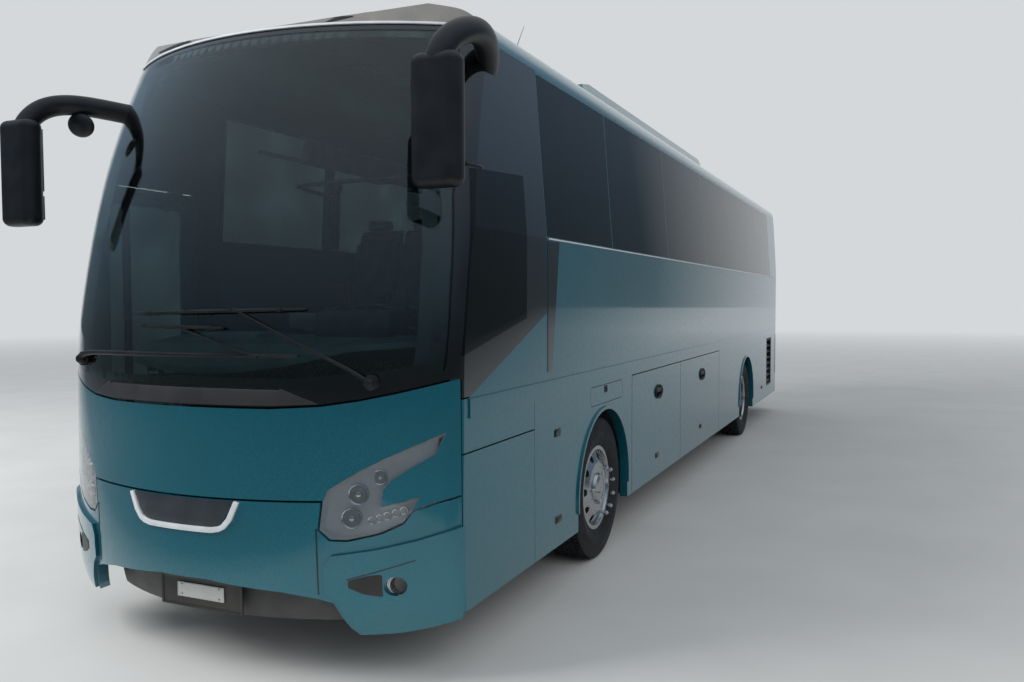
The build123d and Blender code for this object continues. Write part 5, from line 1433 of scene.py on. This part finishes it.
def floor_material():
    """Pale studio floor that glows into the backdrop far out."""
    made, tree, shader, place = new_material("pale_floor", {"Roughness": 0.85})
    tone = patches(tree, place, 900)
    pale = node(tree, "Mix", {0: tone, FIRST: linear("#CFCFCD"), SECOND: linear("#D6D6D4")}, **COLOURS)
    distance = node(tree, "VectorMath", {0: place}, operation="LENGTH")
    away = node(tree, "MapRange", {0: distance, 1: 11, 2: 46})
    # Pale in front of the camera; deeper to its sides and behind it, where only gloss shows the floor
    under_camera = (CAMERA_PLACE[0], CAMERA_PLACE[1], 0)
    offset = node(tree, "VectorMath", {0: place, 1: under_camera}, operation="SUBTRACT")
    toward = node(tree, "VectorMath", {0: offset}, operation="NORMALIZE")
    facing = node(tree, "VectorMath", {0: toward, 1: CAMERA_HEADING}, operation="DOT_PRODUCT")
    seen = node(tree, "MapRange", {0: facing, 1: 0.70, 2: 0.84})
    haze = node(tree, "Mix", {0: seen, FIRST: linear(DEEP_HAZE), SECOND: linear(PALE_HAZE)}, **COLOURS)
    glow = node(tree, "Emission", {"Color": haze, "Strength": 0.85})
    ground = node(tree, "Mix", {0: seen, FIRST: linear("#6E767B"), SECOND: pale}, **COLOURS)
    feed(shader, {"Base Color": ground})
    blend = node(tree, "MixShader", {0: away, 1: shader, 2: glow})
    feed(tree.nodes["Material Output"], {"Surface": blend})
    return made


def backdrop():
    """A sky that is pale behind the coach and deeper round the rest, so that gloss has something to show."""
    sky = bpy.context.scene.world or bpy.data.worlds.new("sky")
    bpy.context.scene.world = sky
    sky.use_nodes = True
    tree = sky.node_tree
    path = node(tree, "LightPath")
    seen = path.outputs["Is Camera Ray"]
    for other in ("Is Glossy Ray", "Is Transmission Ray"):
        seen = node(tree, "Math", {0: seen, 1: path.outputs[other]}, operation="MAXIMUM")
    toward = node(tree, "TexCoord").outputs["Generated"]
    parts = node(tree, "SeparateXYZ", {0: toward})
    level = node(tree, "CombineXYZ", {0: parts.outputs["X"], 1: parts.outputs["Y"]})
    level = node(tree, "VectorMath", {0: level}, operation="NORMALIZE")
    facing = node(tree, "VectorMath", {0: level, 1: CAMERA_HEADING}, operation="DOT_PRODUCT")
    behind = node(tree, "MapRange", {0: facing, 1: 0.78, 2: 0.86})
    dome = node(tree, "ValToRGB", {0: parts.outputs["Z"]}, (
        (0.0, DEEP_HAZE), (0.06, "#55626B"), (0.16, "#5E7080"), (0.32, "#7F93A8"), (0.6, "#B4C4D6"),
        (1.0, "#DCE5EE"),
    ))
    shown = node(tree, "Mix", {0: behind, FIRST: dome, SECOND: linear(PALE_HAZE)}, **COLOURS)
    colour = node(tree, "Mix", {0: seen, FIRST: linear("#C8CDD2"), SECOND: shown}, **COLOURS)
    feed(tree.nodes["Background"], {"Color": colour, "Strength": 0.85})


def soft_lamp(place, power):
    """A broad area lamp that looks at the coach's middle and that gloss and glass don't show."""
    bpy.ops.object.light_add(type="AREA", location=place)
    lamp = bpy.context.object
    lamp.data.size = 9
    lamp.data.energy = power
    lamp.rotation_euler = (Vector((2, 0, 1)) - Vector(place)).to_track_quat("-Z", "Y").to_euler()
    lamp.visible_glossy = False
    lamp.visible_transmission = False


def photo_camera():
    """Camera where the photograph was taken, for a 1024 by 682 frame."""
    yaw, pitch, roll = 0.41742, -0.045954, -0.003844
    ahead = Vector((-cos(yaw) * cos(pitch), -sin(yaw) * cos(pitch), sin(pitch)))
    right = ahead.cross(UP).normalized()
    up = right.cross(ahead)
    right, up = cos(roll) * right + sin(roll) * up, -sin(roll) * right + cos(roll) * up
    bpy.ops.object.camera_add()
    camera = bpy.context.object
    turn = Matrix((right, up, -ahead)).transposed().to_4x4()
    camera.matrix_world = Matrix.Translation(CAMERA_PLACE) @ turn
    camera.data.sensor_width = 36
    camera.data.lens = 30.887
    bpy.context.scene.camera = camera


bpy.ops.mesh.primitive_plane_add(size=400, location=(0, 0, 0))
floor = bpy.context.object
floor.name = "floor"
floor.data.materials.append(floor_material())
backdrop()
soft_lamp((12, -11, 12), 2300)
soft_lamp((12, 11, 10), 550)
photo_camera()
bpy.context.scene.view_settings.view_transform = "Standard"
